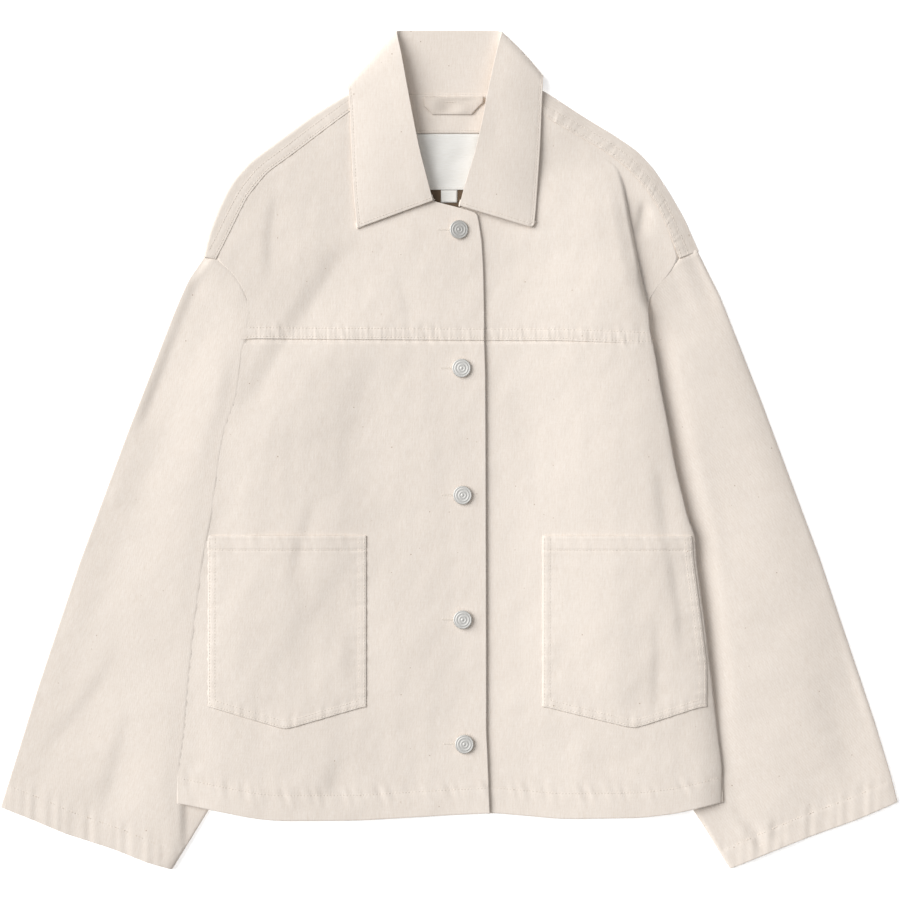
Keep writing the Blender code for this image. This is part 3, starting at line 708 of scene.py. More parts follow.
@dataclass(frozen=True)
class Relief:
    """Everything that makes a laid surface uneven: creases, seams and small humps."""

    parts: tuple[Crease | Seam, ...]
    humps: tuple[tuple[float, float, int], ...] = ((55.0, 0.35, 3), (21.0, 0.14, 5), (9.0, 0.05, 8))

    def height(self, x: Array, y: Array) -> Array:
        """Height it adds at each place.

        Args:
            x: Places' X.
            y: Places' Y.

        Returns:
            The height at each place.
        """
        total = sum((part.height(x, y) for part in self.parts), np.zeros(np.shape(x)))
        for size, rise, seed in self.humps:
            total = total + rise * unevenness(x, y, size, seed)
        return total


@dataclass(frozen=True)
class Lay:
    """How high each layer of the jacket lies, to the middle of its cloth."""

    wall: float = 1.2
    rise: float = 4.2           # from the lower layer of a tube to its upper one
    edge_rise: float = 1.4      # the same at a side fold of the body
    sleeve_lift: float = 6.0
    over_x: float = 160.0
    over_ramp: float = 158.0    # wider than the plain model's, as soft cloth bridges it
    placket_lift: float = 2.4
    placket_ramp: tuple[float, float] = (-95.0, -14.0)
    neck_rise: float = 2.0
    droops: tuple[float, float] = (-0.3, 4.4)    # of the right and the left shoulder, to its edge
    seam_steps: tuple[float, float] = (0.34, 0.15)   # of the same shoulders, above the fronts
    hem_reach: float = 60.0

    def over_sleeve(self, x: Array, y: Array, ramp: Ramp) -> Array:
        """Rise where a sleeve lies under the body."""
        across = smooth((np.abs(x) - self.over_x + self.over_ramp) / self.over_ramp)
        return self.sleeve_lift * across * smooth((ramp.start - y) / ramp.run)

    def over_collar(self, x: Array, y: Array) -> Array:
        """Rise where the turned-down collar lies under the back."""
        return self.neck_rise * smooth((135.0 - np.abs(x)) / 35.0) * smooth((y - 268.0) / 35.0)

    def back(self, x: Array, y: Array) -> Array:
        """Height of the back."""
        return self.wall / 2 + self.over_sleeve(x, y, BACK_RAMP) + self.over_collar(x, y)

    def front(self, x: Array, y: Array, fold: Array, side: Side) -> Array:
        """Height of a front whose side fold is at fold.

        The right front is pressed flat towards its fold. The left one rolls
        over the sleeve under it, higher, and drops at the fold.

        Args:
            x: Places' X.
            y: Places' Y.
            fold: X of its side fold at each place.
            side: Which front it is.

        Returns:
            The height of the middle of its cloth.
        """
        ramp = side.pick(RIGHT_RAMP, LEFT_RAMP)
        from_fold = np.abs(fold) - np.abs(x)
        if side is Side.RIGHT:
            pressed = (self.rise - self.edge_rise) * (1.0 - smooth(from_fold / 50.0))
        else:
            run, tight, turn, rise, wall = (column(ROLL_ROWS, name, y, 20.0)
                                            for name in RollRow._fields[1:])
            shape = (1.0 - turn) * bowed(from_fold / run) + turn * rounded(from_fold / tight)
            room = np.abs(fold) - 45.0 - run
            pressed = 0.6 - (wall + rise * shape) * (1.0 - smooth((from_fold - run) / room))
        lift = self.over_sleeve(x, y, ramp)
        sunk = smooth((ramp.start - y) / ramp.run) * pressed
        if side is Side.LEFT:
            beyond = smooth((y - 128.0) / 16.0) * (1.0 - rounded(from_fold / 10.0))
            lift, sunk = lift * (1.0 - beyond), sunk * (1.0 - beyond)
        return self.wall / 2 + lift + self.over_collar(x, y) + self.rise - sunk

    def shoulder(self, side: Side, share: Array) -> Array:
        """Height of a shoulder's face, a share of the way from its seam to its edge."""
        droop, step = side.pick(*self.droops), side.pick(*self.seam_steps)
        return self.rise + 2.0 * SKIN + step - droop * np.clip(share, 0.0, 1.0) ** 1.3

    def hem_sag(self, x: Array, y: Array) -> Array:
        """How far a row near the hem moves to follow the hem's curve."""
        curve = soft_read(x, [spot.x for spot in HEM], [spot.y for spot in HEM], 10.0)
        base = RIGHT_BODY_ROWS[-1].y
        return (curve - base) * smooth((base + self.hem_reach - y) / self.hem_reach)


LAY = Lay()


# Meshes -----------------------------------------------------------------------------
def add_object(name: str, points: Array, faces: list, finish: bpy.types.Material) -> bpy.types.Object:
    """Make a smooth object and link it to the scene.

    Args:
        name: Its name.
        points: Its points, in millimetres.
        faces: Its faces.
        finish: Its material.

    Returns:
        The object.
    """
    mesh = bpy.data.meshes.new(name)
    mesh.from_pydata((np.asarray(points) * MM).tolist(), [], faces)
    mesh.materials.append(finish)
    mesh.shade_smooth()
    made = bpy.data.objects.new(name, mesh)
    bpy.context.scene.collection.objects.link(made)
    return made


@dataclass
class ClothMesh:
    """Gathers grids of points and makes one object of them."""

    points: list[Array] = field(default_factory=list)
    weave: list[Array] = field(default_factory=list)
    faces: list[Array] = field(default_factory=list)
    count: int = 0

    def add(self, grid: Array, weave: Array, flip: bool = False) -> None:
        """Add a grid.

        Args:
            grid: Points (rows, columns, 3).
            weave: Cloth coordinates (rows, columns, 2): across the warp, along it.
            flip: Turn its faces over.
        """
        rows, columns = grid.shape[:2]
        index = np.arange(rows * columns).reshape(rows, columns) + self.count
        a, b = index[:-1, :-1].ravel(), index[1:, :-1].ravel()
        c, d = index[1:, 1:].ravel(), index[:-1, 1:].ravel()
        quads = np.stack([a, d, c, b] if flip else [a, b, c, d], axis=1)
        self.points.append(grid.reshape(-1, 3))
        self.weave.append(weave.reshape(-1, 2))
        self.faces.append(quads)
        self.count += rows * columns

    def make(self, name: str, finish: bpy.types.Material, wall: float,
             weld: bool = False) -> bpy.types.Object:
        """Make the object.

        Args:
            name: Its name.
            finish: Its material.
            wall: Thickness added below the surface; none for a closed form.
            weld: Join points that coincide.

        Returns:
            The object, linked to the scene.
        """
        weave = np.concatenate(self.weave) * MM
        faces = np.concatenate(self.faces)
        made = add_object(name, np.concatenate(self.points), faces.tolist(), finish)
        layer = made.data.uv_layers.new(name="weave")
        layer.data.foreach_set("uv", weave[faces.ravel()].ravel())
        if weld:
            joined = made.modifiers.new("weld", "WELD")
            joined.merge_threshold = 0.02 * MM
        if wall:
            thick = made.modifiers.new("wall", "SOLIDIFY")
            thick.thickness = wall * MM
            thick.offset = -1.0
        return made


def settle(piece: bpy.types.Object, slot: Slot, nodes: Sequence[str] = ()) -> bpy.types.Object:
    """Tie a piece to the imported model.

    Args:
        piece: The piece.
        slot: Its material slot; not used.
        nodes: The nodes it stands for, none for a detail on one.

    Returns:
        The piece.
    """
    if nodes:
        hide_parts(*nodes)
    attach(piece, ROOT)
    triangles = sum(len(face.vertices) - 2 for face in piece.data.polygons)
    log.info("%s: %d triangles before its wall", piece.name, triangles)
    return piece


def cloth_piece(node: str, grid: Array, finish: bpy.types.Material, wall: float = SHELL,
                flip: bool = False) -> bpy.types.Object:
    """Make one grid of cloth, woven along Y, for a node.

    Args:
        node: The node's name.
        grid: Points (rows, columns, 3).
        finish: Its material.
        wall: Its thickness.
        flip: Turn its faces over.

    Returns:
        The object.
    """
    mesh = ClothMesh()
    mesh.add(grid, grid[:, :, :2], flip)
    return mesh.make(f"{node}_cloth", finish, wall)


def turned_under(edge: Array, outward: Array, down: Array, radius: float, steps: int) -> list[Array]:
    """Rows that turn an edge under by half a circle.

    Args:
        edge: The edge's points.
        outward: Direction out of the cloth's edge.
        down: Direction from its upper layer to its lower one.
        radius: Half the height of the turn.
        steps: How many rows, with the edge itself.

    Returns:
        The rows after the edge.
    """
    return [edge + outward * radius * math.sin(turn) + down * radius * (1.0 - math.cos(turn))
            for turn in np.radians(np.linspace(0.0, 180.0, steps))[1:]]


@dataclass(frozen=True)
class Thread:
    """Topstitching: a short lozenge of thread for each stitch."""

    pitch: float = 3.1
    length: float = 2.6
    radius: float = 0.27
    sink: float = 0.16
    sides: int = 6

    def rings(self) -> list[tuple[float, float, float]]:
        """Sections of one stitch: place along it, share of its radius, drop."""
        return [(-0.5, 0.3, 0.32), (-0.36, 0.8, 0.08), (0.0, 1.0, 0.0), (0.36, 0.8, 0.08),
                (0.5, 0.3, 0.32)]

    def sew(self, name: str, lines: Sequence[Array], finish: bpy.types.Material) -> bpy.types.Object:
        """Sew along lines on a surface.

        Args:
            name: The object's name.
            lines: Points (n, 3) of each line, on the cloth's upper face.
            finish: The thread's material.

        Returns:
            One object with every stitch.
        """
        turn = np.linspace(0.0, 2.0 * math.pi, self.sides, endpoint=False)
        sections = self.rings()
        points, faces = [], []
        for line in lines:
            run = route_lengths(line)[-1]
            number = max(int(run / self.pitch), 1)
            starts = (np.arange(number) + 0.5) * run / number
            middle = along_route(line, starts)
            way = along_route(line, starts + 0.5) - along_route(line, starts - 0.5)
            way /= np.linalg.norm(way, axis=1)[:, None]
            across = np.cross(way, (0.0, 0.0, 1.0))
            across /= np.linalg.norm(across, axis=1)[:, None]
            up = np.cross(across, way)
            for m, w, a, u in zip(middle, way, across, up):
                base = len(points)
                for place, share, drop in sections:
                    centre = m + w * place * self.length + u * (self.radius - self.sink - drop)
                    for t in turn:
                        points.append(centre + share * self.radius * (
                            a * math.cos(t) + u * math.sin(t)))
                for ring in range(len(sections) - 1):
                    for k in range(self.sides):
                        p, q = base + ring * self.sides + k, base + ring * self.sides + (k + 1) % self.sides
                        faces.append((p, q, q + self.sides, p + self.sides))
                last = base + (len(sections) - 1) * self.sides
                faces.append(tuple(base + k for k in reversed(range(self.sides))))
                faces.append(tuple(last + k for k in range(self.sides)))
        return settle(add_object(name, points, faces, finish), Slot.DENIM)


def on_surface(route: Array, surface: Surface, step: float = 1.5) -> Array:
    """Points of a route in plan, lifted onto a surface."""
    run = route_lengths(route)[-1]
    plan = along_route(route, np.linspace(0.0, run, max(int(run / step), 2)))
    return np.column_stack([plan, surface(plan[:, 0], plan[:, 1])])


# Finishes ---------------------------------------------------------------------------
def srgb(code: str) -> tuple[float, float, float, float]:
    """Turn an sRGB hex colour to linear RGBA."""
    parts = [int(code[i:i + 2], 16) / 255.0 for i in (1, 3, 5)]
    linear = [p / 12.92 if p <= 0.04045 else ((p + 0.055) / 1.055) ** 2.4 for p in parts]
    return (*linear, 1.0)


def add_node(tree: bpy.types.NodeTree, kind: str, settings: dict | None = None,
             values: dict | None = None, links: dict | None = None) -> bpy.types.Node:
    """Add a shader node.

    Args:
        tree: The material's node tree.
        kind: The node's type name, without "ShaderNode".
        settings: Properties of the node.
        values: Constants for its input sockets.
        links: Sockets to link to its input sockets.

    Returns:
        The node.
    """
    node = tree.nodes.new("ShaderNode" + kind)
    for name, value in (settings or {}).items():
        setattr(node, name, value)
    for name, value in (values or {}).items():
        node.inputs[name].default_value = value
    for name, socket in (links or {}).items():
        tree.links.new(socket, node.inputs[name])
    return node


def new_material(name: str) -> tuple[bpy.types.Material, bpy.types.NodeTree, bpy.types.Node]:
    """A material with an empty Principled shader."""
    made = bpy.data.materials.new(name)
    made.use_nodes = True
    return made, made.node_tree, made.node_tree.nodes["Principled BSDF"]


def colour_between(tree: bpy.types.NodeTree, shader: bpy.types.Node, dark: str, light: str,
                   share: bpy.types.NodeSocket) -> None:
    """Colour a shader between two tones.

    Args:
        tree: The material's node tree.
        shader: Its shader.
        dark: Tone at share 0.
        light: Tone at share 1.
        share: Socket that gives the share.
    """
    mixed = add_node(tree, "Mix", {"data_type": "RGBA"}, {"A": srgb(dark), "B": srgb(light)},
                     {"Factor": share})
    tree.links.new(mixed.outputs["Result"], shader.inputs["Base Color"])


def roughen(tree: bpy.types.NodeTree, shader: bpy.types.Node, strength: float, depth: float,
            height: bpy.types.NodeSocket) -> None:
    """Bump a shader's face.

    Args:
        tree: The material's node tree.
        shader: Its shader.
        strength: Share of the bump that shows.
        depth: Its depth, in millimetres.
        height: Socket that gives its height.
    """
    bump = add_node(tree, "Bump", values={"Strength": strength, "Distance": depth * MM},
                    links={"Height": height})
    tree.links.new(bump.outputs["Normal"], shader.inputs["Normal"])


@dataclass(frozen=True)
class UndyedDenim:
    """Undyed cotton twill, ring-spun and woven, garment-washed.

    Matt with a faint fuzz; uneven warp yarns make fine streaks along the
    cloth, and specks of seed husk are left in it.
    """

    name: str = "undyed_denim_twill"
    light: str = "#F8EFE6"
    dark: str = "#E4D6C8"
    speck: str = "#A58A70"
    yarn: float = 1.1           # spacing of warp yarns; drawn coarser than the real 0.45 to show
    slub: float = 11.0          # length of a thick stretch of yarn
    twill: float = 2.2          # spacing of the twill lines; the real 1.0 is too fine to show
    speck_cell: float = 9.0     # one speck at most in a cell this wide
    band: float = 0.314         # a wave texture of this scale has one band in each unit

    def build(self) -> bpy.types.Material:
        """Make the material."""
        made, tree, shader = new_material(self.name)
        weave = add_node(tree, "UVMap", {"uv_map": "weave"}).outputs["UV"]

        def noise(across: float, along: float, detail: float) -> bpy.types.NodeSocket:
            """Noise in patches.

            Args:
                across: A patch's width, in millimetres.
                along: Its length.
                detail: How many finer layers of noise are on it.

            Returns:
                The socket of its value.
            """
            place = add_node(tree, "Mapping", values={
                "Scale": (1.0 / (across * MM), 1.0 / (along * MM), 1.0)}, links={"Vector": weave})
            return add_node(tree, "TexNoise", values={
                "Scale": 1.0, "Detail": detail, "Roughness": 0.6},
                links={"Vector": place.outputs["Vector"]}).outputs["Fac"]

        def mixed(share: float, first: bpy.types.NodeSocket,
                  second: bpy.types.NodeSocket) -> bpy.types.NodeSocket:
            """share of the first added to the second."""
            return add_node(tree, "Math", {"operation": "MULTIPLY_ADD"}, {1: share},
                            {0: first, 2: second}).outputs[0]

        streaks = noise(self.yarn, self.slub, 1.0)
        weft = noise(6.0, 1.2, 1.0)
        fuzz = noise(2.4, 3.0, 2.0)
        cloud = noise(30.0, 45.0, 2.0)
        twill_place = add_node(tree, "Mapping", values={
            "Rotation": (0.0, 0.0, math.radians(27.0)),
            "Scale": (1.0 / (self.twill * MM), 1.0 / (self.twill * MM), 1.0)},
            links={"Vector": weave})
        twill = add_node(tree, "TexWave", {"bands_direction": "X"}, {
            "Scale": self.band, "Distortion": 0.6, "Detail": 1.0},
            {"Vector": twill_place.outputs["Vector"]}).outputs["Fac"]

        grain = mixed(0.6, fuzz, mixed(0.4, weft, streaks))
        tone = add_node(tree, "MapRange", values={"From Min": 0.3, "From Max": 1.7},
                        links={"Value": mixed(0.25, cloud, grain)}).outputs["Result"]
        cloth = add_node(tree, "Mix", {"data_type": "RGBA"},
                         {"A": srgb(self.dark), "B": srgb(self.light)}, {"Factor": tone})

        cells = add_node(tree, "TexVoronoi", values={
            "Scale": 1.0 / (self.speck_cell * MM), "Randomness": 1.0}, links={"Vector": weave})
        near = add_node(tree, "MapRange", values={"From Min": 0.05, "From Max": 0.085,
                                                  "To Min": 1.0, "To Max": 0.0},
                        links={"Value": cells.outputs["Distance"]}).outputs["Result"]
        kind = add_node(tree, "SeparateColor", links={"Color": cells.outputs["Color"]})
        chosen = add_node(tree, "MapRange", values={"From Min": 0.8, "From Max": 1.0, "To Max": 0.7},
                          links={"Value": kind.outputs[0]}).outputs["Result"]
        speck = add_node(tree, "Math", {"operation": "MULTIPLY"}, links={0: near, 1: chosen})
        colour = add_node(tree, "Mix", {"data_type": "RGBA"}, {"B": srgb(self.speck)},
                          {"Factor": speck.outputs[0], "A": cloth.outputs["Result"]})
        tree.links.new(colour.outputs["Result"], shader.inputs["Base Color"])

        roughen(tree, shader, 0.4, 0.18, mixed(0.35, twill, grain))
        shader.inputs["Roughness"].default_value = 0.92
        shader.inputs["IOR"].default_value = 1.47
        shader.inputs["Specular IOR Level"].default_value = 0.25
        shader.inputs["Sheen Weight"].default_value = 0.12
        shader.inputs["Sheen Roughness"].default_value = 0.6
        return made


@dataclass(frozen=True)
class LabelSatin:
    """Woven polyester satin: fine floats across it give a soft, slightly silky face."""

    name: str = "woven_satin_label"
    light: str = "#FCFBF8"
    dark: str = "#EFECE5"
    float_width: float = 0.8    # drawn coarser than the real 0.2 to show

    def build(self) -> bpy.types.Material:
        """Make the material."""
        made, tree, shader = new_material(self.name)
        weave = add_node(tree, "UVMap", {"uv_map": "weave"}).outputs["UV"]
        place = add_node(tree, "Mapping", values={
            "Scale": (1.0 / (7.0 * MM), 1.0 / (self.float_width * MM), 1.0)}, links={"Vector": weave})
        floats = add_node(tree, "TexNoise", values={"Scale": 1.0, "Detail": 2.0},
                          links={"Vector": place.outputs["Vector"]}).outputs["Fac"]
        tone = add_node(tree, "MapRange", values={"From Min": 0.1, "From Max": 0.9},
                        links={"Value": floats}).outputs["Result"]
        colour_between(tree, shader, self.dark, self.light, tone)
        roughen(tree, shader, 0.15, 0.1, floats)
        shader.inputs["Roughness"].default_value = 0.6
        shader.inputs["Sheen Weight"].default_value = 0.1
        return made


@dataclass(frozen=True)
class SewingThread:
    """Cotton-wrapped polyester thread, twisted: a soft line a shade off the cloth."""

    name: str = "twisted_cotton_thread"
    light: str = "#F6EEE4"
    dark: str = "#E2D6C8"

    def build(self) -> bpy.types.Material:
        """Make the material."""
        made, tree, shader = new_material(self.name)
        place = add_node(tree, "TexCoord").outputs["Object"]
        twist = add_node(tree, "TexNoise", values={"Scale": 1.0 / (0.8 * MM), "Detail": 2.0},
                         links={"Vector": place}).outputs["Fac"]
        colour_between(tree, shader, self.dark, self.light, twist)
        roughen(tree, shader, 0.4, 0.1, twist)
        shader.inputs["Roughness"].default_value = 0.8
        shader.inputs["Sheen Weight"].default_value = 0.2
        return made


@dataclass(frozen=True)
class NickelPlate:
    """Stamped brass, nickel plated and tumbled: bright, with a soft uneven shine."""

    name: str = "stamped_nickel_plate"
    light: str = "#EDECE9"
    dark: str = "#D2D0CC"

    def build(self) -> bpy.types.Material:
        """Make the material."""
        made, tree, shader = new_material(self.name)
        place = add_node(tree, "TexCoord").outputs["Object"]
        wear = add_node(tree, "TexNoise", values={"Scale": 1.0 / (3.0 * MM), "Detail": 4.0,
                                                  "Roughness": 0.65}, links={"Vector": place})
        colour_between(tree, shader, self.dark, self.light, wear.outputs["Fac"])
        rough = add_node(tree, "MapRange", values={"To Min": 0.55, "To Max": 0.7},
                         links={"Value": wear.outputs["Fac"]}).outputs["Result"]
        tree.links.new(rough, shader.inputs["Roughness"])
        grain = add_node(tree, "TexNoise", values={"Scale": 1.0 / (0.5 * MM), "Detail": 2.0},
                         links={"Vector": place}).outputs["Fac"]
        roughen(tree, shader, 0.15, 0.05, grain)
        shader.inputs["Metallic"].default_value = 1.0
        return made


@dataclass(frozen=True)
class PaleBoard:
    """Matt white painted board that the jacket lies on."""

    name: str = "white_painted_board"
    colour: str = "#FFFFFF"
    glow: float = 0.45

    def build(self) -> bpy.types.Material:
        """Make the material."""
        made, _, shader = new_material(self.name)
        shader.inputs["Base Color"].default_value = srgb(self.colour)
        shader.inputs["Roughness"].default_value = 0.95
        shader.inputs["Specular IOR Level"].default_value = 0.0
        shader.inputs["Emission Color"].default_value = srgb(self.colour)
        shader.inputs["Emission Strength"].default_value = self.glow
        return made


@dataclass(frozen=True)
class Finishes:
    """The jacket's materials; facing and inside are darker copies of the denim that paint shade."""

    denim: bpy.types.Material
    # facing: a darker copy of the denim, painted shade for the shadowed neck; it colours the hanger loop
    facing: bpy.types.Material
    # inside: a dark brown copy of the denim, painted shade below the label where the back's inside lies in
    # shadow
    inside: bpy.types.Material
    label: bpy.types.Material
    thread: bpy.types.Material
    metal: bpy.types.Material


def make_finishes() -> Finishes:
    """Make the jacket's materials."""
    # A darker copy of the denim, painted shade for the shadowed neck, used on the hanger loop.
    facing = UndyedDenim("undyed_denim_facing", "#EEE4DA", "#D9CBBD")
    # A dark brown copy of the denim: painted shade for the shadowed inside of the back, below the label.
    inside = UndyedDenim("dark_inner_twill", "#75624F", "#5F4E3E")
    kinds = (UndyedDenim(), facing, inside, LabelSatin(), SewingThread(), NickelPlate())
    return Finishes(*(kind.build() for kind in kinds))


# Unevenness of the fronts -----------------------------------------------------------
YOKE_SEAM_RIGHT = ((33.5, 103.4), (0.0, 103.6), (-189.0, 105.0), (-198.7, 103.1))
YOKE_SEAM_LEFT = ((194.0, 99.6), (190.0, 99.6), (105.0, 103.0), (35.0, 103.6), (-10.0, 103.6))

FRONT_CREASES: tuple[Crease, ...] = (
    # Wearer's right front, on the left in the view.
    Crease(((-84.0, 206.0), (-120.0, 150.0), (-160.0, 90.0), (-196.0, 20.0)), 14.0, -2.7, 2.6, 0.25),
    Crease(((-160.0, 250.0), (-168.0, 205.0), (-168.0, 160.0)), 7.0, -1.2, 3.0),
    Crease(((-46.0, 172.0), (-40.0, 142.0), (-33.0, 112.0)), 7.0, -0.8),
    Crease(((-73.0, 100.0), (-80.0, 50.0), (-95.0, -10.0), (-110.0, -60.0)), 11.0, -0.8, 2.6),
    Crease(((-121.0, -30.0), (-133.0, -76.0), (-150.0, -140.0)), 8.0, -1.1, 2.2),
    Crease(((-96.0, -285.0), (-106.0, -312.0), (-116.0, -345.0)), 10.0, -1.5, 2.0, 0.5),
    Crease(((-84.0, -100.0), (-90.0, -180.0), (-84.0, -245.0)), 16.0, -0.8, 1.6),
    # Wearer's left front, on the right in the view.
    Crease(((62.0, 90.0), (84.0, -30.0), (92.0, -80.0)), 12.0, -0.6),
    Crease(((196.0, 0.0), (205.0, -66.0), (212.0, -112.0)), 7.0, -1.2, 1.5),
    Crease(((186.0, 239.0), (183.0, 218.0), (178.0, 198.0)), 4.0, -1.8, 2.0),
    Crease(((196.0, -146.0), (198.0, -184.0), (197.0, -236.0), (190.0, -268.0)), 6.0, -1.1, 2.2),
    Crease(((205.0, -80.0), (212.0, -108.0), (219.0, -150.0), (222.0, -206.0)), 6.0, -1.4, 2.6),
    Crease(((120.0, -285.0), (150.0, -300.0), (176.0, -330.0)), 10.0, -0.9, 2.0, 0.5),
)


def front_seams(side: Side) -> tuple[Seam, ...]:
    """The seams that shape one front.

    Args:
        side: Which front it is.

    Returns:
        Its hem and its yoke seam.
    """
    hem = tuple((spot.x, spot.y + HEM_DEPTH) for spot in HEM)
    shared = (Seam(hem, (0.0,), 0.1, 0.2, 0.52, 13.0, 15.0, 31, 0.1, 10.0),)
    if side is Side.RIGHT:
        return shared + (
            Seam(YOKE_SEAM_RIGHT, YOKE_STITCHES, 0.12, 0.24, 0.3, 12.0, 8.0, 11, 0.13),
        )
    return shared + (Seam(YOKE_SEAM_LEFT, YOKE_STITCHES, 0.3, 0.24, 0.3, 12.0, 8.0, 14, 0.13),)


@dataclass
class Front:
    """One front: its yoke above the straight seam and its body below."""

    side: Side
    finishes: Finishes
    step: float = 2.4
    body_step: float = 2.04
    seam_step: float = 1.3      # fine enough for the gathers between two rows of stitches
    fold_turns: tuple[float, float] = (0.6, 0.7)    # how far out the side folds turn, right and left
    fold_sweep: float = 165.0   # how far they turn down, in degrees
    widths: tuple[float, float] = (292.0, 268.0)    # of a front at its widest
    pleat_rise: float = 2.8
    pleat_run: float = 14.0     # from its fold to where it starts to die out
    pleat_end: float = 59.0     # it has died out this far, less that run, from the middle
    hem_radius: float = 1.1
    hem_inside: float = 6.0     # how far it runs back up inside
    relief: Relief = field(init=False)

    def __post_init__(self) -> None:
        """Gather the creases and seams."""
        self.fold_turn = self.side.pick(*self.fold_turns)
        self.relief = Relief(FRONT_CREASES + front_seams(self.side))

    def fold_at(self, y: Array) -> Array:
        """Place of the side fold, or of the pleat's fold, at y.

        Args:
            y: Heights in plan.

        Returns:
            The X of the fold at each.
        """
        if self.side is Side.RIGHT:
            return column(RIGHT_YOKE_ROWS + RIGHT_BODY_ROWS, "outer", y)
        rows = [FrontRow(row.y, row.inner, row.fold) for row in LEFT_YOKE_ROWS]
        return column(tuple(rows) + LEFT_BODY_EDGE, "outer", y)

    def outer_at(self, y: Array) -> Array:
        """Place of the outer edge at y."""
        if self.side is Side.RIGHT:
            return column(RIGHT_YOKE_ROWS + RIGHT_BODY_ROWS, "outer", y)
        return column(LEFT_YOKE_ROWS + LEFT_BODY_EDGE, "outer", y)

    def inner_at(self, y: Array) -> Array:
        """Place of the inner edge at y."""
        if self.side is Side.RIGHT:
            return column(RIGHT_YOKE_ROWS + RIGHT_BODY_ROWS, "inner", y, 1.5)
        return column(LEFT_YOKE_ROWS + LEFT_BODY_EDGE, "inner", y, 3.0)

    def pleat(self, x: Array, y: Array, fold: Array) -> Array:
        """Rise of the soft pleat that runs down from the left shoulder.

        Args:
            x: Places' X.
            y: Places' Y.
            fold: X of the pleat's fold at each place.

        Returns:
            Its rise at each place.
        """
        if self.side is Side.RIGHT:
            return np.zeros(np.shape(x))
        rise = self.pleat_rise * column(LEFT_YOKE_ROWS, "pleat", y) * smooth((y - 122.0) / 40.0)
        from_fold = fold - x
        shape = 0.75 * rounded(from_fold / 4.0) + 0.25 * smooth(from_fold / 18.0)
        return rise * shape * (1.0 - smooth((from_fold - self.pleat_run) / (fold - self.pleat_end)))

    def surface(self, x: Array, y: Array) -> Array:
        """Height of the front's upper face.

        Args:
            x: Places' X.
            y: Places' Y.

        Returns:
            The height at each place.
        """
        fold = self.fold_at(y)
        height = LAY.front(x, y, fold, self.side) + self.pleat(x, y, fold)
        from_edge = np.abs(self.outer_at(y)) - np.abs(x)
        flat = 1.0 - smooth((y - 172.0) / 10.0) * (1.0 - smooth(from_edge / 12.0))
        if self.side is Side.RIGHT:
            start, end = LAY.placket_ramp
            height = height + LAY.placket_lift * smooth((x - start) / (end - start))
            flat = np.where(y > 130.0, flat, smooth(from_edge / 12.0))
        return height + SKIN + self.relief.height(x, y) * flat

    def columns(self, step: float) -> Array:
        """Distances of the grid's columns from the inner edge, at its widest."""
        widest = self.side.pick(*self.widths)
        fine = self.side.pick((1.0, 49.0, widest), (widest,))
        return lines_between(0.0, widest, step, fine, 1.0, 4.0)

    def plan_x(self, y: Array, step: float) -> Array:
        """X of each column on each row: even near the inner edge, spread to the outer one.

        Args:
            y: The rows' places.
            step: Usual spacing of the columns.

        Returns:
            X (rows, columns).
        """
        across = self.columns(step)
        widest = across[-1]
        outer = self.outer_at(y)
        inner = self.inner_at(y)
        scale = (np.abs(outer - inner) / widest)[:, None]
        local = np.exp(-across / 80.0) - math.exp(-widest / 80.0)
        distance = scale * across + (1.0 - scale) * across * local * smooth((scale - 0.25) / 0.5)
        way = np.sign(outer - inner)[:, None]
        return inner[:, None] + way * distance

    def grid(self, x: Array, y: Array) -> Array:
        """Points (rows, columns, 3) on the surface at places in plan."""
        return np.stack([x, y, self.surface(x, y)], axis=2)

    def turned(self, grid: Array, radius: float, sweep: float, amount: Array) -> Array:
        """Add a rolled side fold to the last column of a grid, down to the back.

        Args:
            grid: Points (rows, columns, 3).
            radius: How far out the roll goes.
            sweep: How far it turns, in degrees.
            amount: Share of the roll on each row, 0 for a flat edge.

        Returns:
            The grid with the roll's columns added.
        """
        sign = self.side.value
        turns = np.radians(np.linspace(0.0, sweep, 9))[1:]
        anywhere = 1e9 * (1 - amount[:, None])
        keep = grid[:, :, 0] * sign < (grid[:, -1, 0] * sign - radius)[:, None] + anywhere
        limit = (grid[:, -1, 0] - sign * radius * amount)[:, None]
        grid = grid.copy()
        grid[:, :, 0] = np.where(keep, grid[:, :, 0], limit)
        last = grid[:, -1:, :]
        roll = np.repeat(last, len(turns), axis=1)
        half = 0.5 * (last[:, 0, 2] - LAY.back(last[:, 0, 0], last[:, 0, 1]) - SKIN)
        roll[:, :, 0] += sign * radius * np.sin(turns)[None, :] * amount[:, None]
        roll[:, :, 2] -= (half * amount)[:, None] * (1.0 - np.cos(turns))[None, :]
        return np.concatenate([grid, roll], axis=1)

    def tucked(self, edge: Array, amount: Array) -> Array:
        """Columns that run on under the piece sewn to this edge.

        Args:
            edge: The last column of a grid.
            amount: Share of the tuck on each row.

        Returns:
            Points (rows, 2, 3).
        """
        columns = []
        for out, down in ((0.4, 0.25), (5.0, 1.4)):
            points = edge.copy()
            points[:, 0] += self.side.value * out * amount
            points[:, 2] -= down * amount
            columns.append(points)
        return np.stack(columns, axis=1)

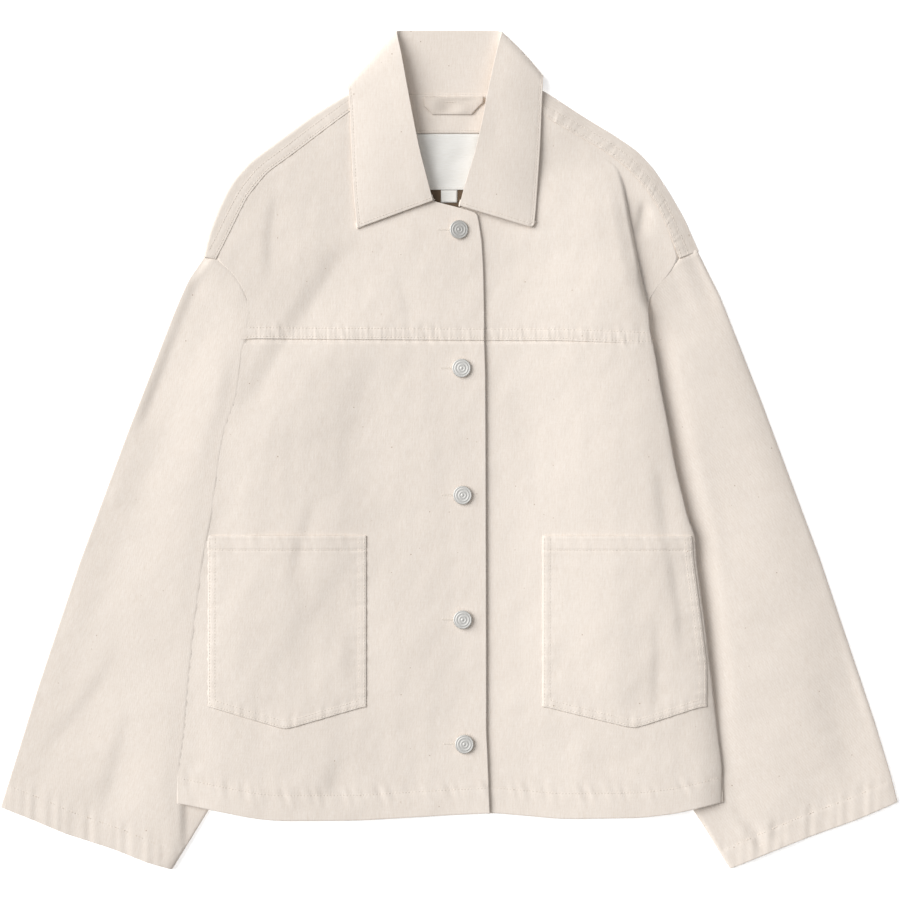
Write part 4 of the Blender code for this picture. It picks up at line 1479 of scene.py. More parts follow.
    def build_yoke(self) -> bpy.types.Object:
        """The yoke, down to the straight seam that it laps over."""
        rows = self.side.pick(RIGHT_YOKE_ROWS, LEFT_YOKE_ROWS)
        node = f"front_{self.side.word}_yoke"
        seam = self.side.pick(YOKE_SEAM_RIGHT, YOKE_SEAM_LEFT)
        y = lines_between(rows[0].y, YOKE_SEAM_Y + 0.2, self.step, (106.0, 112.0), 1.0, 6.0)
        x = self.plan_x(y, self.seam_step)
        seam_y = soft_read(x, [p[0] for p in seam], [p[1] for p in seam], 6.0)
        share = smooth((140.0 - y) / 37.0)[:, None]
        place_y = y[:, None] + (seam_y - YOKE_SEAM_Y - 0.2) * share
        grid = self.grid(x, place_y)
        turned = smooth((150.0 - y) / 15.0) if self.side is Side.LEFT else np.zeros(len(y))
        grid = self.turned(grid, self.fold_turn, self.fold_sweep, turned)
        grid = np.concatenate([grid, self.tucked(grid[:, -1], 1.0 - turned)], axis=1)
        made = cloth_piece(node, grid, self.finishes.denim, flip=self.side is Side.RIGHT)
        return settle(made, Slot.DENIM, (node,))

    def build_body(self) -> bpy.types.Object:
        """The body, from under the yoke to the turned-up hem."""
        node = f"front_{self.side.word}_panel"
        base = RIGHT_BODY_ROWS[-1].y
        y = lines_between(YOKE_SEAM_Y + 1.5, base, self.step, (101.0, base + HEM_DEPTH, base), 1.0, 4.0)
        x = self.plan_x(y, self.body_step)
        place_y = y[:, None] + LAY.hem_sag(x, y[:, None])
        grid = self.grid(x, place_y)
        grid[:, :, 2] -= 0.8 * smooth((y - 99.5) / 3.0)[:, None]
        grid = self.turned(grid, self.fold_turn, self.fold_sweep, np.ones(len(y)))
        grid = np.concatenate([grid, self.hem_roll(grid[-1])], axis=0)
        made = cloth_piece(node, grid, self.finishes.denim, flip=self.side is Side.RIGHT)
        return settle(made, Slot.DENIM, (node,))

    def hem_roll(self, edge: Array) -> Array:
        """Rows that turn the hem under and back up inside."""
        out, down = np.array([0.0, -1.0, 0.0]), np.array([0.0, 0.0, -1.0])
        rows = turned_under(edge, out, down, self.hem_radius, 8)
        return np.array(rows + [rows[-1] - self.hem_inside * out])

    def stitch_lines(self) -> list[Array]:
        """Lines of topstitching on this front, on its surface."""
        seam = self.side.pick(YOKE_SEAM_RIGHT, YOKE_SEAM_LEFT)
        route = rounded_route(seam)
        lines = []
        for offset in YOKE_STITCHES:
            line = on_surface(beside(route, offset), self.surface)
            y_fold = self.outer_at(line[:, 1]) * self.side.value
            inside = line[:, 0] * self.side.value < y_fold - 3.0
            if self.side is Side.LEFT:
                inside &= line[:, 0] > 37.5
            lines.append(line[inside])
        hem = np.array([(spot.x, spot.y + HEM_DEPTH) for spot in HEM])
        line = on_surface(rounded_route(hem, 10.0), self.surface)
        edge = self.outer_at(line[:, 1])
        inside = (line[:, 0] * self.side.value < edge * self.side.value - 4.0)
        inside &= line[:, 0] < 35.5 if self.side is Side.RIGHT else line[:, 0] > 40.0
        lines.append(line[inside])
        return lines

    def dress(self) -> bpy.types.Object:
        """Sew the topstitching."""
        name = f"front_{self.side.word}_topstitch"
        return Thread().sew(name, self.stitch_lines(), self.finishes.thread)


@dataclass
class Back:
    """The back: a sheet on the surface, rolled over both shoulders to the forward seams."""

    finishes: Finishes
    coarse: float = 9.0         # spacing of the grid's rows below the shoulders
    rows: tuple[float, float] = (2.4, 9.6)      # topstitching beside the forward seams

    def shoulder_rows(self) -> dict[str, Array]:
        """The shoulder table, read closely along its length."""
        rows = len(SHOULDER_ROWS)
        number = 170
        share = np.linspace(0.0, rows - 1, number)
        places = np.arange(rows)
        return {name: soft_read(share, places, [getattr(r, name) for r in SHOULDER_ROWS], 0.25)
                for name in ShoulderRow._fields}

    def roll(self, table: dict[str, Array], side: Side) -> tuple[Array, Array]:
        """The part that comes over one shoulder.

        Args:
            table: The shoulder rows.
            side: Which shoulder.

        Returns:
            Points (rows, columns, 3) from the forward seam to the floor layer, and
            their distance along the cloth from the seam.
        """
        key = side.pick("r", "l")
        edge = np.stack([table[f"edge_{key}_x"], table[f"edge_{key}_y"]], axis=1)
        seam = np.stack([table[f"seam_{key}_x"], table[f"seam_{key}_y"]], axis=1)
        run = np.linalg.norm(seam - edge, axis=1)
        inward = (seam - edge) / run[:, None]
        radius = 0.5 * float(LAY.shoulder(side, np.array(1.0)))
        centre = edge + inward * radius
        low = LAY.back(centre[:, 0], centre[:, 1]) - LAY.wall / 2
        along = route_lengths(seam)
        points, reach = [], []
        flat = np.insert(np.linspace(0.0, 1.0, 13), 1, 0.012)
        for share in flat:
            plan = seam + (centre - seam) * share
            away = share * np.linalg.norm(centre - seam, axis=1)
            rise = self.seam_relief(away, along, side.pick(21, 22))
            here = LAY.back(plan[:, 0], plan[:, 1]) - LAY.wall / 2
            z = here + LAY.shoulder(side, share) + rise * smooth(1.2 - share)
            if share == 0.0:
                points.append(np.column_stack([seam, z - 1.1]))
                reach.append(away - 0.8)
            points.append(np.column_stack([plan, z]))
            reach.append(away)
        for turn in np.radians(np.linspace(0.0, 180.0, 13))[1:]:
            plan = centre - inward * radius * math.sin(turn)
            z = low + radius + radius * math.cos(turn)
            if turn > 3.1:
                z = z + SKIN * 0.5
            points.append(np.column_stack([plan, z]))
            reach.append(reach[-1] + radius * 0.26)
        return np.stack(points, axis=1), np.stack(reach, axis=1)

    def seam_relief(self, away: Array, along: Array, seed: int) -> Array:
        """Welt, grooves and puckers beside a forward seam.

        Args:
            away: Distance from the seam.
            along: Length along it.
            seed: Chooses its puckers.

        Returns:
            The rise at each place.
        """
        last = self.rows[-1]
        welt = 0.15 * smooth((last + 2.0 - away) / 3.0) - 0.1 * (1.0 - smooth(away / 2.4))
        grooves = sum(0.18 * bell(away - row, 1.3) for row in self.rows)
        fold = wobble(along + 0.3 * away, 12.0, seed) * (0.6 + 0.4 * wobble(along, 60.0, seed + 3))
        fold = 0.28 * fold * smooth((last + 9.0 - away) / 9.0)
        gather = 0.14 * wobble(along, 4.4, seed + 2) * smooth((last + 2.0 - away) / 2.5)
        return welt - grooves + fold + gather

    def build(self) -> bpy.types.Object:
        """The whole back in one piece."""
        table = self.shoulder_rows()
        mesh = ClothMesh()
        right, right_reach = self.roll(table, Side.RIGHT)
        left, left_reach = self.roll(table, Side.LEFT)
        along = np.repeat(route_lengths(right[:, 0, :2])[:, None], right.shape[1], axis=1)
        mesh.add(right, np.stack([right_reach, along], axis=2))
        mesh.add(left, np.stack([left_reach, along], axis=2), flip=True)

        start, end = right[:, -1, :], left[:, -1, :]
        shares = np.linspace(-1.0, 1.0, 61)
        middle, half = 0.5 * (start + end), 0.5 * (end - start)
        x = middle[:, None, 0] + half[:, None, 0] * shares
        y = middle[:, None, 1] + half[:, None, 1] * shares
        dip = table["dip"][:, None] * smooth((80.0 - np.abs(x)) / 30.0)
        dip[:, 0] = dip[:, -1] = 0.0
        upper = np.stack([x, y - dip, self.surface(x, y - dip)], axis=2)
        upper[:, 0], upper[:, -1] = start, end
        mesh.add(upper, upper[:, :, :2], flip=True)

        rows = lines_between(BACK_ROWS[0].y, BACK_ROWS[-1].y, self.coarse,
                             (BACK_ROWS[-1].y,), 2.0, 8.0)
        low, high = column(BACK_ROWS, "right", rows, 3.0), column(BACK_ROWS, "left", rows, 3.0)
        x = 0.5 * (low + high)[:, None] + 0.5 * (high - low)[:, None] * shares
        yy = rows[:, None] + LAY.hem_sag(x, rows[:, None]) + 3.0 * smooth((-270.0 - rows[:, None]) / 60.0)
        lower = np.stack([x, yy, self.surface(x, np.repeat(rows[:, None], x.shape[1], axis=1))], axis=2)
        lower = np.concatenate([upper[:1], lower], axis=0)
        mesh.add(lower, lower[:, :, :2])
        made = mesh.make("back_panel_cloth", self.finishes.denim, SHELL, weld=True)
        return settle(made, Slot.DENIM, ("back_panel",))

    def surface(self, x: Array, y: Array) -> Array:
        """Height of the back's inner face, which is its upper one."""
        return LAY.back(x, y) + 0.5 * SKIN

    def dress(self) -> bpy.types.Object:
        """Double topstitching beside the forward seams."""
        table = self.shoulder_rows()
        lines = []
        for side in Side:
            points, reach = self.roll(table, side)
            for row in self.rows:
                line = [[np.interp(row, reach[k], points[k, :, axis]) for axis in range(3)]
                        for k in range(len(points)) if reach[k, 14] > row + 1.0]
                lines.append(np.array(line))
        return Thread().sew("shoulder_topstitch", lines, self.finishes.thread)


# Sleeves ----------------------------------------------------------------------------
SLEEVE_CREASES: dict[Side, tuple[Crease | Seam, ...]] = {
    Side.RIGHT: (
        Crease(((-220.0, 192.0), (-240.0, 160.0), (-258.0, 112.0), (-298.0, 0.0)), 7.0, -1.5, 2.0, 0.25),
        Crease(((-300.0, -180.0), (-340.0, -240.0), (-390.0, -303.0)), 9.0, -1.3, 2.6),
        Crease(((-296.0, -240.0), (-314.0, -300.0), (-328.0, -358.0)), 9.0, -1.3, 2.4),
        Seam(((-231.0, -334.0), (-257.0, -376.7), (-267.0, -396.0)), (-2.0, -7.5),
             0.15, 0.2, 0.2, 9.0, 4.0, 45),
    ),
    Side.LEFT: (
        Crease(((214.0, 150.0), (228.0, 100.0), (256.0, -110.0), (282.0, -336.0)), 16.0, 0.7, 2.0, 0.12),
        Crease(((350.0, -180.0), (372.0, -260.0), (396.0, -345.0)), 20.0, -2.0, 1.6, 0.4),
        Crease(((240.0, 40.0), (262.0, -60.0), (280.0, -160.0)), 10.0, -0.7),
        Crease(((282.0, -344.0), (292.0, -366.0), (300.0, -388.0)), 4.5, -1.0, 1.6),
        Crease(((266.0, -330.0), (282.0, -356.0), (300.0, -384.0)), 4.5, -0.9, 1.6),
        Crease(((308.0, -350.0), (311.0, -362.0), (313.0, -374.0)), 4.0, -0.9, 1.6),
    ),
}


@dataclass
class Sleeve:
    """A sleeve: a flattened tube between its armhole, cuff and two side folds."""

    front: Front
    finishes: Finishes
    step: float = 3.0
    fold_radius: float = 1.7
    start_radius: float = 0.65  # at the drooping left shoulder
    cuff_radius: float = 2.4
    fold_turn: float = 0.45     # how far out a fold turns, for half its height
    top: float = 5.4
    crown: float = 26.0         # a fold on the viewer's right rounds over this at the armhole
    cuff_crown: float = 56.0    # and over this at the cuff
    flat_crown: float = 4.0     # one on the left, which lies flatter, over this
    dome: float = 3.6           # how much fuller the left sleeve lies than the right one
    hem_depth: float = 20.0
    hem_roll: float = 1.0
    cuff_inside: float = 9.0    # how far the cuff runs back inside the tube

    @property
    def side(self) -> Side:
        """Which sleeve it is."""
        return self.front.side

    @property
    def edges(self) -> dict[str, tuple[Spot, ...]]:
        """The four edges in plan."""
        return self.side.pick(RIGHT_SLEEVE, LEFT_SLEEVE)

    def edge(self, name: str, share: Array) -> Array:
        """Points a share of the way along an edge."""
        route = rounded_route(self.edges[name], 9.0, 2.0)
        return along_route(route, np.asarray(share) * route_lengths(route)[-1])

    def plan(self, across: Array, along: Array) -> Array:
        """Points inside the four edges.

        Args:
            across: Shares from the outer fold to the inner one.
            along: Shares from the armhole to the cuff.

        Returns:
            Points (along, across, 2).
        """
        s, t = across[None, :, None], along[:, None, None]
        top, bottom = self.edge("armhole", across)[None], self.edge("cuff", across)[None]
        outer, inner = self.edge("outer", along)[:, None], self.edge("inner", along)[:, None]
        corner = {(name, share): self.edge(name, np.array([share]))[0]
                  for name in ("armhole", "cuff") for share in (0.0, 1.0)}
        corners = ((1 - s) * (1 - t) * corner["armhole", 0.0] + s * (1 - t) * corner["armhole", 1.0]
                   + (1 - s) * t * corner["cuff", 0.0] + s * t * corner["cuff", 1.0])
        return (1 - t) * top + t * bottom + (1 - s) * outer + s * inner - corners

    def radius(self, along: Array) -> Array:
        """Half the height of the side folds: less along the sleeve than at the cuff."""
        start = self.side.pick(self.fold_radius, self.start_radius)
        radius = start + (self.fold_radius - start) * smooth(along / 0.1)
        return radius + (self.cuff_radius - self.fold_radius) * smooth((along - 0.86) / 0.14)

    def shown(self, x: Array, y: Array) -> Array:
        """1 where the upper layer shows, 0 where the body lies on it."""
        front = column(self.side.pick(RIGHT_BODY_ROWS, LEFT_BODY_EDGE), "outer", y)
        return np.where(y > YOKE_SEAM_Y + 12.0, 1.0, smooth((np.abs(x) - np.abs(front) - 1.0) / 16.0))

    def swell(self, x: Array, y: Array) -> Array:
        """How it meets the body's fold: level with it on the right, dipping beside it on the left.

        Args:
            x: Places' X.
            y: Places' Y.

        Returns:
            The rise at each place, over its usual height.
        """
        if self.side is Side.LEFT:
            from_body = np.abs(x) - column(LEFT_BODY_EDGE, "outer", y)
            below = smooth((YOKE_SEAM_Y + 30.0 - y) / 50.0)
            dip = 3.0 * smooth((from_body + 2.0) / 26.0) - 2.0
            return below * dip * (1.0 - smooth((-210.0 - y) / 60.0))
        edge = self.front.outer_at(y)
        from_body = np.abs(x) - np.abs(edge)
        level = LAY.front(edge, y, edge, self.side) + SKIN - self.top + 0.1 * smooth((104.0 - y) / 10.0)
        under = np.where(y > 96.0, 1.0, smooth((from_body + 8.0) / 5.0))
        return level * (1.0 - smooth(from_body / 95.0)) * under

    def meet(self, plan: Array, z: Array, from_top: Array) -> Array:
        """Rise that brings the sleeve level with its front along the armhole.

        Args:
            plan: The armhole's points, as far as the shoulder and down under the body.
            z: Height of the sleeve there.
            from_top: Distance of each row from the armhole.

        Returns:
            The rise (rows, columns).
        """
        x, y = plan[:, 0], plan[:, 1]
        level = self.front.surface(x, y)
        end = SHOULDER_ROWS[0]
        seam, edge = self.side.pick((end.seam_r_x, end.edge_r_x), (end.seam_l_x, end.edge_l_x))
        if self.side is Side.LEFT:
            level = 5.0 + (level - 5.0) * smooth((x - self.front.fold_at(y) - 1.0) / 6.0)
        level = level - self.side.pick(0.12, 0.18) * smooth((y - 110.0) / 20.0)
        band = LAY.shoulder(self.side, (x - seam) / (edge - seam)) - 0.2
        level = level + (band - level) * smooth((y - 171.0) / 8.0)
        return (level - z)[None, :] * self.near_armhole(from_top)

    def near_armhole(self, from_top: Array) -> Array:
        """1 at the armhole, 0 far enough down the sleeve (rows, 1)."""
        return 1.0 - smooth(from_top / self.side.pick(40.0, 80.0))[:, None]

    def relief(self, x: Array, y: Array) -> Array:
        """Unevenness of the upper layer, which dies out under the body."""
        humps = Relief(SLEEVE_CREASES[self.side], ((60.0, 0.45, 4), (24.0, 0.16, 6), (9.0, 0.05, 9)))
        return humps.height(x, y) * self.shown(x, y)

    def cuff_relief(self, from_end: Array, along_cuff: Array) -> Array:
        """Turn-up, its row of stitches and its puckers.

        Args:
            from_end: Distance from the cuff's edge.
            along_cuff: Length along it.

        Returns:
            The rise at each place.
        """
        groove = 0.2 * bell(from_end - self.hem_depth, 1.3)
        welt = 0.2 * smooth((self.hem_depth + 1.5 - from_end) / 2.5)
        fold = wobble(along_cuff + 0.3 * from_end, 13.0, 41)
        return welt - groove + 0.34 * fold * smooth((self.hem_depth + 14.0 - from_end) / 14.0)

    def upper(self, across: Array, along: Array) -> Array:
        """Points (along, across, 3) of the upper layer's face.

        Args:
            across: Shares from the outer fold to the inner one.
            along: Shares from the armhole to the cuff.

        Returns:
            Points (along, across, 3).
        """
        plan = self.plan(across, along)
        width = np.linalg.norm(plan[:, -1] - plan[:, 0], axis=1)[:, None]
        span = across[-1] - across[0]
        from_outer = (across - across[0])[None, :] / span * width
        from_inner = width - from_outer
        near = np.minimum(from_outer, from_inner)
        low = 2.0 * self.radius(along)[:, None]
        x, y = plan[:, :, 0], plan[:, :, 1]
        crown = (self.crown + (self.cuff_crown - self.crown) * smooth((along - 0.35) / 0.6))[:, None]
        if self.side is Side.RIGHT:
            shape = smooth(from_outer / 70.0) - 0.12 * bell(from_outer - 28.0, 10.0)
            shape = np.minimum(shape, rounded(from_inner / crown))
        else:
            shape = np.minimum(rounded(from_outer / crown), rounded(from_inner / self.flat_crown))
        z = low + (self.top + self.swell(x, y) - low) * shape
        if self.side is Side.LEFT:
            from_body = np.abs(x) - column(LEFT_BODY_EDGE, "outer", y)
            free = bowed(from_body / 110.0) * smooth((YOKE_SEAM_Y + 30.0 - y) / 50.0)
            at_cuff = smooth((along[:, None] - 0.8) / 0.2)
            z = z + self.dome * bowed(from_outer / 85.0) * free * (1.0 - 0.7 * at_cuff)
        length = route_lengths(self.plan(np.array([0.5]), np.linspace(0, 1, 40))[:, 0])[-1]
        z = z + self.meet(plan[0], z[0], along * length) * smooth(near / 8.0)
        inside = np.abs(self.front.outer_at(y)) - np.abs(x)
        below = smooth((inside - 1.5) / 8.0) * smooth((126.0 - y) / 8.0)
        z = z - 3.2 * below * self.near_armhole(along * length) * smooth(near / 8.0)
        from_end = (1.0 - along)[:, None] * length + 0.0 * near
        z = z + self.relief(x, y) * smooth(near / 10.0)
        z = z + self.cuff_relief(from_end, from_outer) * smooth(near / 4.0)
        return np.dstack([plan, z])

    def build(self) -> bpy.types.Object:
        """The sleeve's tube, its cuff turned in."""
        sample = self.plan(np.linspace(0, 1, 3), np.linspace(0, 1, 30))
        length = route_lengths(sample[:, 1])[-1]
        width = np.max(np.linalg.norm(sample[:, 2] - sample[:, 0], axis=1))
        along = lines_between(0.0, length, self.step, (length - self.hem_depth, length), 1.2, 4.0) / length
        widths = np.linalg.norm(self.plan(np.array([0.0, 1.0]), along)[:, 1]
                                - self.plan(np.array([0.0, 1.0]), along)[:, 0], axis=1)
        lines = lines_between(0.0, width, self.step, (0.0, width), 1.2, 5.0) / width
        margin = float(np.mean(self.fold_turn * self.radius(along) / widths))
        across = margin + (1.0 - 2.0 * margin) * lines
        top = self.upper(across, along)
        plan = top[:, :, :2]
        out_low = plan[:, 0] - plan[:, 1]
        out_high = plan[:, -1] - plan[:, -2]
        radius = self.radius(along)[:, None]
        rings = [top]
        turns = np.radians(np.linspace(0.0, 180.0, 10))[1:-1]
        rings.append(self.fold(top[:, -1], out_high, radius, turns, 1.0))
        coarse = across[::-1][::4]
        if abs(coarse[-1] - across[0]) > 1e-6:
            coarse = np.append(coarse, across[0])
        below = self.plan(coarse, along)
        rings.append(np.dstack([below, np.zeros(below.shape[:2])]))
        start = np.dstack([plan[:, :1], np.zeros((len(along), 1))])[:, 0]
        rings.append(self.fold(start, out_low, radius, turns, -1.0))
        rings.append(top[:, :1])
        ring = np.concatenate(rings, axis=1)
        upper = np.arange(ring.shape[1]) < top.shape[1] + 3
        ring = np.concatenate([self.tucked(ring, upper), ring, self.turned_in(ring)], axis=0)
        mesh = ClothMesh()
        mesh.add(ring, self.weave(ring), flip=self.side is Side.LEFT)
        name = self.side.word
        made = mesh.make(f"sleeve_{name}_cloth", self.finishes.denim, SHELL, weld=True)
        return settle(made, Slot.DENIM, (f"sleeve_{name}",))

    def fold(self, start: Array, outward: Array, radius: Array, turns: Array, way: float) -> Array:
        """Points round a side fold.

        Args:
            start: Points of the layer that it starts from.
            outward: Direction out of the sleeve at each.
            radius: Half its height at each.
            turns: How far it has turned at each column.
            way: 1 turns down from start, -1 up.

        Returns:
            Points (rows, columns, 3).
        """
        outward = outward / np.linalg.norm(outward, axis=1)[:, None]
        points = []
        for turn in turns:
            plan = start[:, :2] + outward * self.fold_turn * radius * math.sin(turn)
            z = start[:, 2:] - way * radius * (1.0 - math.cos(turn))
            points.append(np.concatenate([plan, z], axis=1))
        return np.stack(points, axis=1)

    def tucked(self, ring: Array, upper: Array) -> Array:
        """Rows before the armhole, tucked under the body.

        Args:
            ring: The sleeve's points.
            upper: Which columns are on its upper layer.

        Returns:
            Points (2, columns, 3).
        """
        way = ring[0] - ring[1]
        way /= np.maximum(np.linalg.norm(way, axis=1), 1e-6)[:, None]
        rows = []
        for back, down in ((9.0, 1.8), (0.5, 0.25)):
            row = ring[0] + way * np.where(upper, back, 0.2)[:, None]
            row[:, 2] = ring[0][:, 2] - np.where(upper, down, 0.0)
            rows.append(row)
        return np.array(rows)

    def turned_in(self, ring: Array) -> Array:
        """Rows that turn the cuff in and run back inside the tube.

        Args:
            ring: The sleeve's points.

        Returns:
            Points (rows, columns, 3).
        """
        last = ring[-1]
        way = ring[-1] - ring[-4]
        way[:, 2] = 0.0
        way /= np.linalg.norm(way, axis=1)[:, None]
        middle = last.mean(axis=0)
        inward = np.zeros_like(last)
        inward[:, 2] = np.where(last[:, 2] > self.cuff_radius, -1.0, 1.0)
        rows = turned_under(last, way, inward, self.hem_roll, 7)
        for row, turn in zip(rows, np.radians(np.linspace(0.0, 180.0, 7))[1:]):
            row[:, :2] += ((middle - last) * 0.012 * (1.0 - math.cos(turn)))[:, :2]
        return np.array(rows + [rows[-1] - way * self.cuff_inside])

    def weave(self, ring: Array) -> Array:
        """Cloth coordinates: the warp runs down the sleeve.

        Args:
            ring: The sleeve's points.

        Returns:
            Cloth coordinates (rows, columns, 2).
        """
        a, b = self.edge("outer", np.array([0.0]))[0], self.edge("outer", np.array([1.0]))[0]
        along = (b - a) / np.linalg.norm(b - a)
        across = np.array([-along[1], along[0]])
        return np.stack([ring[:, :, :2] @ across, ring[:, :, :2] @ along], axis=2)

    def dress(self) -> bpy.types.Object:
        """The row of stitches round the cuff."""
        across = np.linspace(0.03, 0.97, 160)
        length = route_lengths(self.plan(np.array([0.5]), np.linspace(0, 1, 40))[:, 0])[-1]
        row = np.array([1.0 - self.hem_depth / length])
        return Thread().sew(f"sleeve_{self.side.word}_topstitch", [self.upper(across, row)[0]],
                            self.finishes.thread)


# Collar -----------------------------------------------------------------------------
@dataclass
class Collar:
    """The collar: a stand that comes up from the neck seam, rolls over and falls."""

    finishes: Finishes
    rows: int = 240             # sections from one front point to the other
    roll_radius: float = 0.15
    stand_points: int = 22
    roll_points: int = 12
    edge_radius: float = 0.55
    end_radius: float = 0.8     # of the two front edges' turns
    end_rows: int = 6           # and the rows in one
    stitch: float = 2.4         # topstitching from the free edges
    bulge: float = 1.1
    front_y: float = 260.0      # a line that ends below this ends at a front edge
    corners: tuple[float, float] = (0.8, 3.8)   # how round its points are, right and left

    def sections(self, number: int) -> dict[str, Array]:
        """The collar table, read closely from one front point to the other.

        Args:
            number: How many sections to read.

        Returns:
            Each column's values by its name, and which half each section is on.
        """
        rows = COLLAR_RIGHT_HALF + (COLLAR_BACK,) + COLLAR_LEFT_HALF
        outer = np.array([(row.edge_x, row.edge_y) for row in rows])
        roll = np.array([(row.roll_x, row.roll_y) for row in rows])
        run = route_lengths(outer) + route_lengths(roll)
        index = np.interp(np.linspace(0.0, run[-1], number), run, np.arange(len(rows)))
        room = np.minimum(np.minimum(index, len(rows) - 1 - index), 0.5)
        out = {}
        for name in CollarRow._fields:
            values = [getattr(row, name) for row in rows]
            total, weights = np.zeros(number), 0.0
            for offset in np.linspace(-1.0, 1.0, 9):
                weight = math.exp(-2.0 * offset * offset)
                total += weight * np.interp(index + offset * room, np.arange(len(rows)), values)
                weights += weight
            out[name] = total / weights
        out["side"] = np.where(index < len(COLLAR_RIGHT_HALF), -1.0, 1.0)
        return out

    def build(self) -> bpy.types.Object:
        """The collar in one piece, its free edges turned under."""
        self.grid = self.surface(self.rows)
        return settle(cloth_piece("collar", self.grid, self.finishes.denim), Slot.DENIM, ("collar",))

    def surface(self, number: int) -> Array:
        """Points (rows, columns, 3) over the collar's outer face.

        Args:
            number: How many sections it has.

        Returns:
            Points (sections, columns, 3), from the neck over the roll to inside the free edge.
        """
        s = self.sections(number)
        over, out = np.radians(s["over"]), np.radians(s["out"])
        zero = np.zeros(number)
        facing = np.stack([np.cos(over), np.sin(over), zero], axis=1)
        level = np.stack([np.sin(over), -np.cos(over), zero], axis=1) * s["side"][:, None]
        up = np.array([0.0, 0.0, 1.0])
        away = np.cos(out)[:, None] * level + np.sin(out)[:, None] * up
        roll = np.stack([s["roll_x"], s["roll_y"], s["roll_z"]], axis=1)
        radius = self.roll_radius + SKIN
        centre = roll - facing * 0.5 * radius
        neck = np.stack([s["neck_x"], s["neck_y"], s["neck_z"]], axis=1) - away * SKIN
        edge = np.stack([s["edge_x"], s["edge_y"], s["edge_z"]], axis=1) + away * SKIN
        points = []
        for share in np.linspace(0.0, 1.0, self.stand_points):
            points.append(neck + share * (centre - away * radius - neck))
        for turn in np.radians(np.linspace(0.0, 180.0, self.roll_points))[1:-1]:
            points.append(centre + radius * (facing * 0.5 * math.sin(turn) - away * math.cos(turn)))
        above = centre + away * radius
        fall = edge - above
        length = np.linalg.norm(fall, axis=1)
        along = route_lengths(edge)
        from_ends = np.minimum(along, along[-1] - along)
        shares = lines_between(0.0, 1.0, 1.0 / 32.0, (0.92, 1.0), 1.0 / 75.0, 0.05)
        shares = np.sort(np.append(shares, (0.003, 0.997)))      # keep its edges crisp
        for share in shares:
            rise = self.bulge * math.sin(math.pi * min(share, 1.0)) * smooth(np.abs(s["neck_x"]) / 20.0)
            to_edge = (1.0 - share) * length
            rise = rise + self.edge_relief(to_edge, along, 51)
            rise = rise + self.edge_relief(from_ends, share * length, 52) * (share > 0.02)
            x, y = (above + share * fall)[:, 0], (above + share * fall)[:, 1]
            rise = rise + 0.35 * unevenness(x, y, 40.0, 17) * min(share * 4.0, 1.0)
            points.append(above + share * fall + away * rise[:, None]
                          - self.rounding(to_edge, from_ends, fall, edge, s["side"]))
        way = fall / length[:, None]
        points += turned_under(points[-1], way, -away, self.edge_radius, 7)
        points.append(points[-1] - way * 7.0 - away * 0.8)
        grid = np.stack(points, axis=1)
        return self.close_ends(grid, away)

    def rounding(self, to_edge: Array, from_ends: Array, fall: Array, edge: Array, side: Array) -> Array:
        """How far a row of points comes in to round the collar's two points.

        Args:
            to_edge: Distances from the free edge.
            from_ends: Distances along it from the nearer front point.
            fall: From the roll to the edge.
            edge: Places on the edge.
            side: -1 on the wearer's right half, 1 on the left one.

        Returns:
            The moves (rows, 3).
        """
        corner = np.where(side < 0.0, *self.corners)
        down, along = np.maximum(corner - to_edge, 0.0), np.maximum(corner - from_ends, 0.0)
        past = np.hypot(down, along)
        over = (np.maximum(past - corner, 0.0) / np.maximum(past, 1e-6))[:, None]
        way = fall / np.linalg.norm(fall, axis=1)[:, None]
        outward = np.gradient(edge, axis=0) * side[:, None]
        outward = outward / np.linalg.norm(outward, axis=1)[:, None]
        return over * (way * down[:, None] + outward * along[:, None])

    def edge_relief(self, from_edge: Array, along: Array, seed: int) -> Array:
        """Rise of the cloth near a topstitched edge."""
        groove = 0.2 * bell(from_edge - self.stitch, 1.3)
        fold = 0.12 * wobble(along, 10.0, seed) * smooth((self.stitch + 6.0 - from_edge) / 7.0)
        return 0.1 * wobble(along, 4.2, seed + 2) * bell(from_edge - self.stitch, 2.5) - groove + fold

    def close_ends(self, grid: Array, away: Array) -> Array:
        """Turn the two front edges under.

        Args:
            grid: The collar's points.
            away: Direction out of the cloth at each section.

        Returns:
            The points with the turned rows at both ends.
        """
        ends = []
        for first, second, up in ((0, 2, away[0]), (-1, -3, away[-1])):
            way = grid[first] - grid[second]
            way[:, 2] = 0.0
            way /= np.maximum(np.linalg.norm(way, axis=1), 1e-6)[:, None]
            rows = turned_under(grid[first], way, -up, self.end_radius, self.end_rows)
            rows.append(rows[-1] - way * 5.0)
            ends.append(np.array(rows))
        return np.concatenate([ends[0][::-1], grid, ends[1]], axis=0)

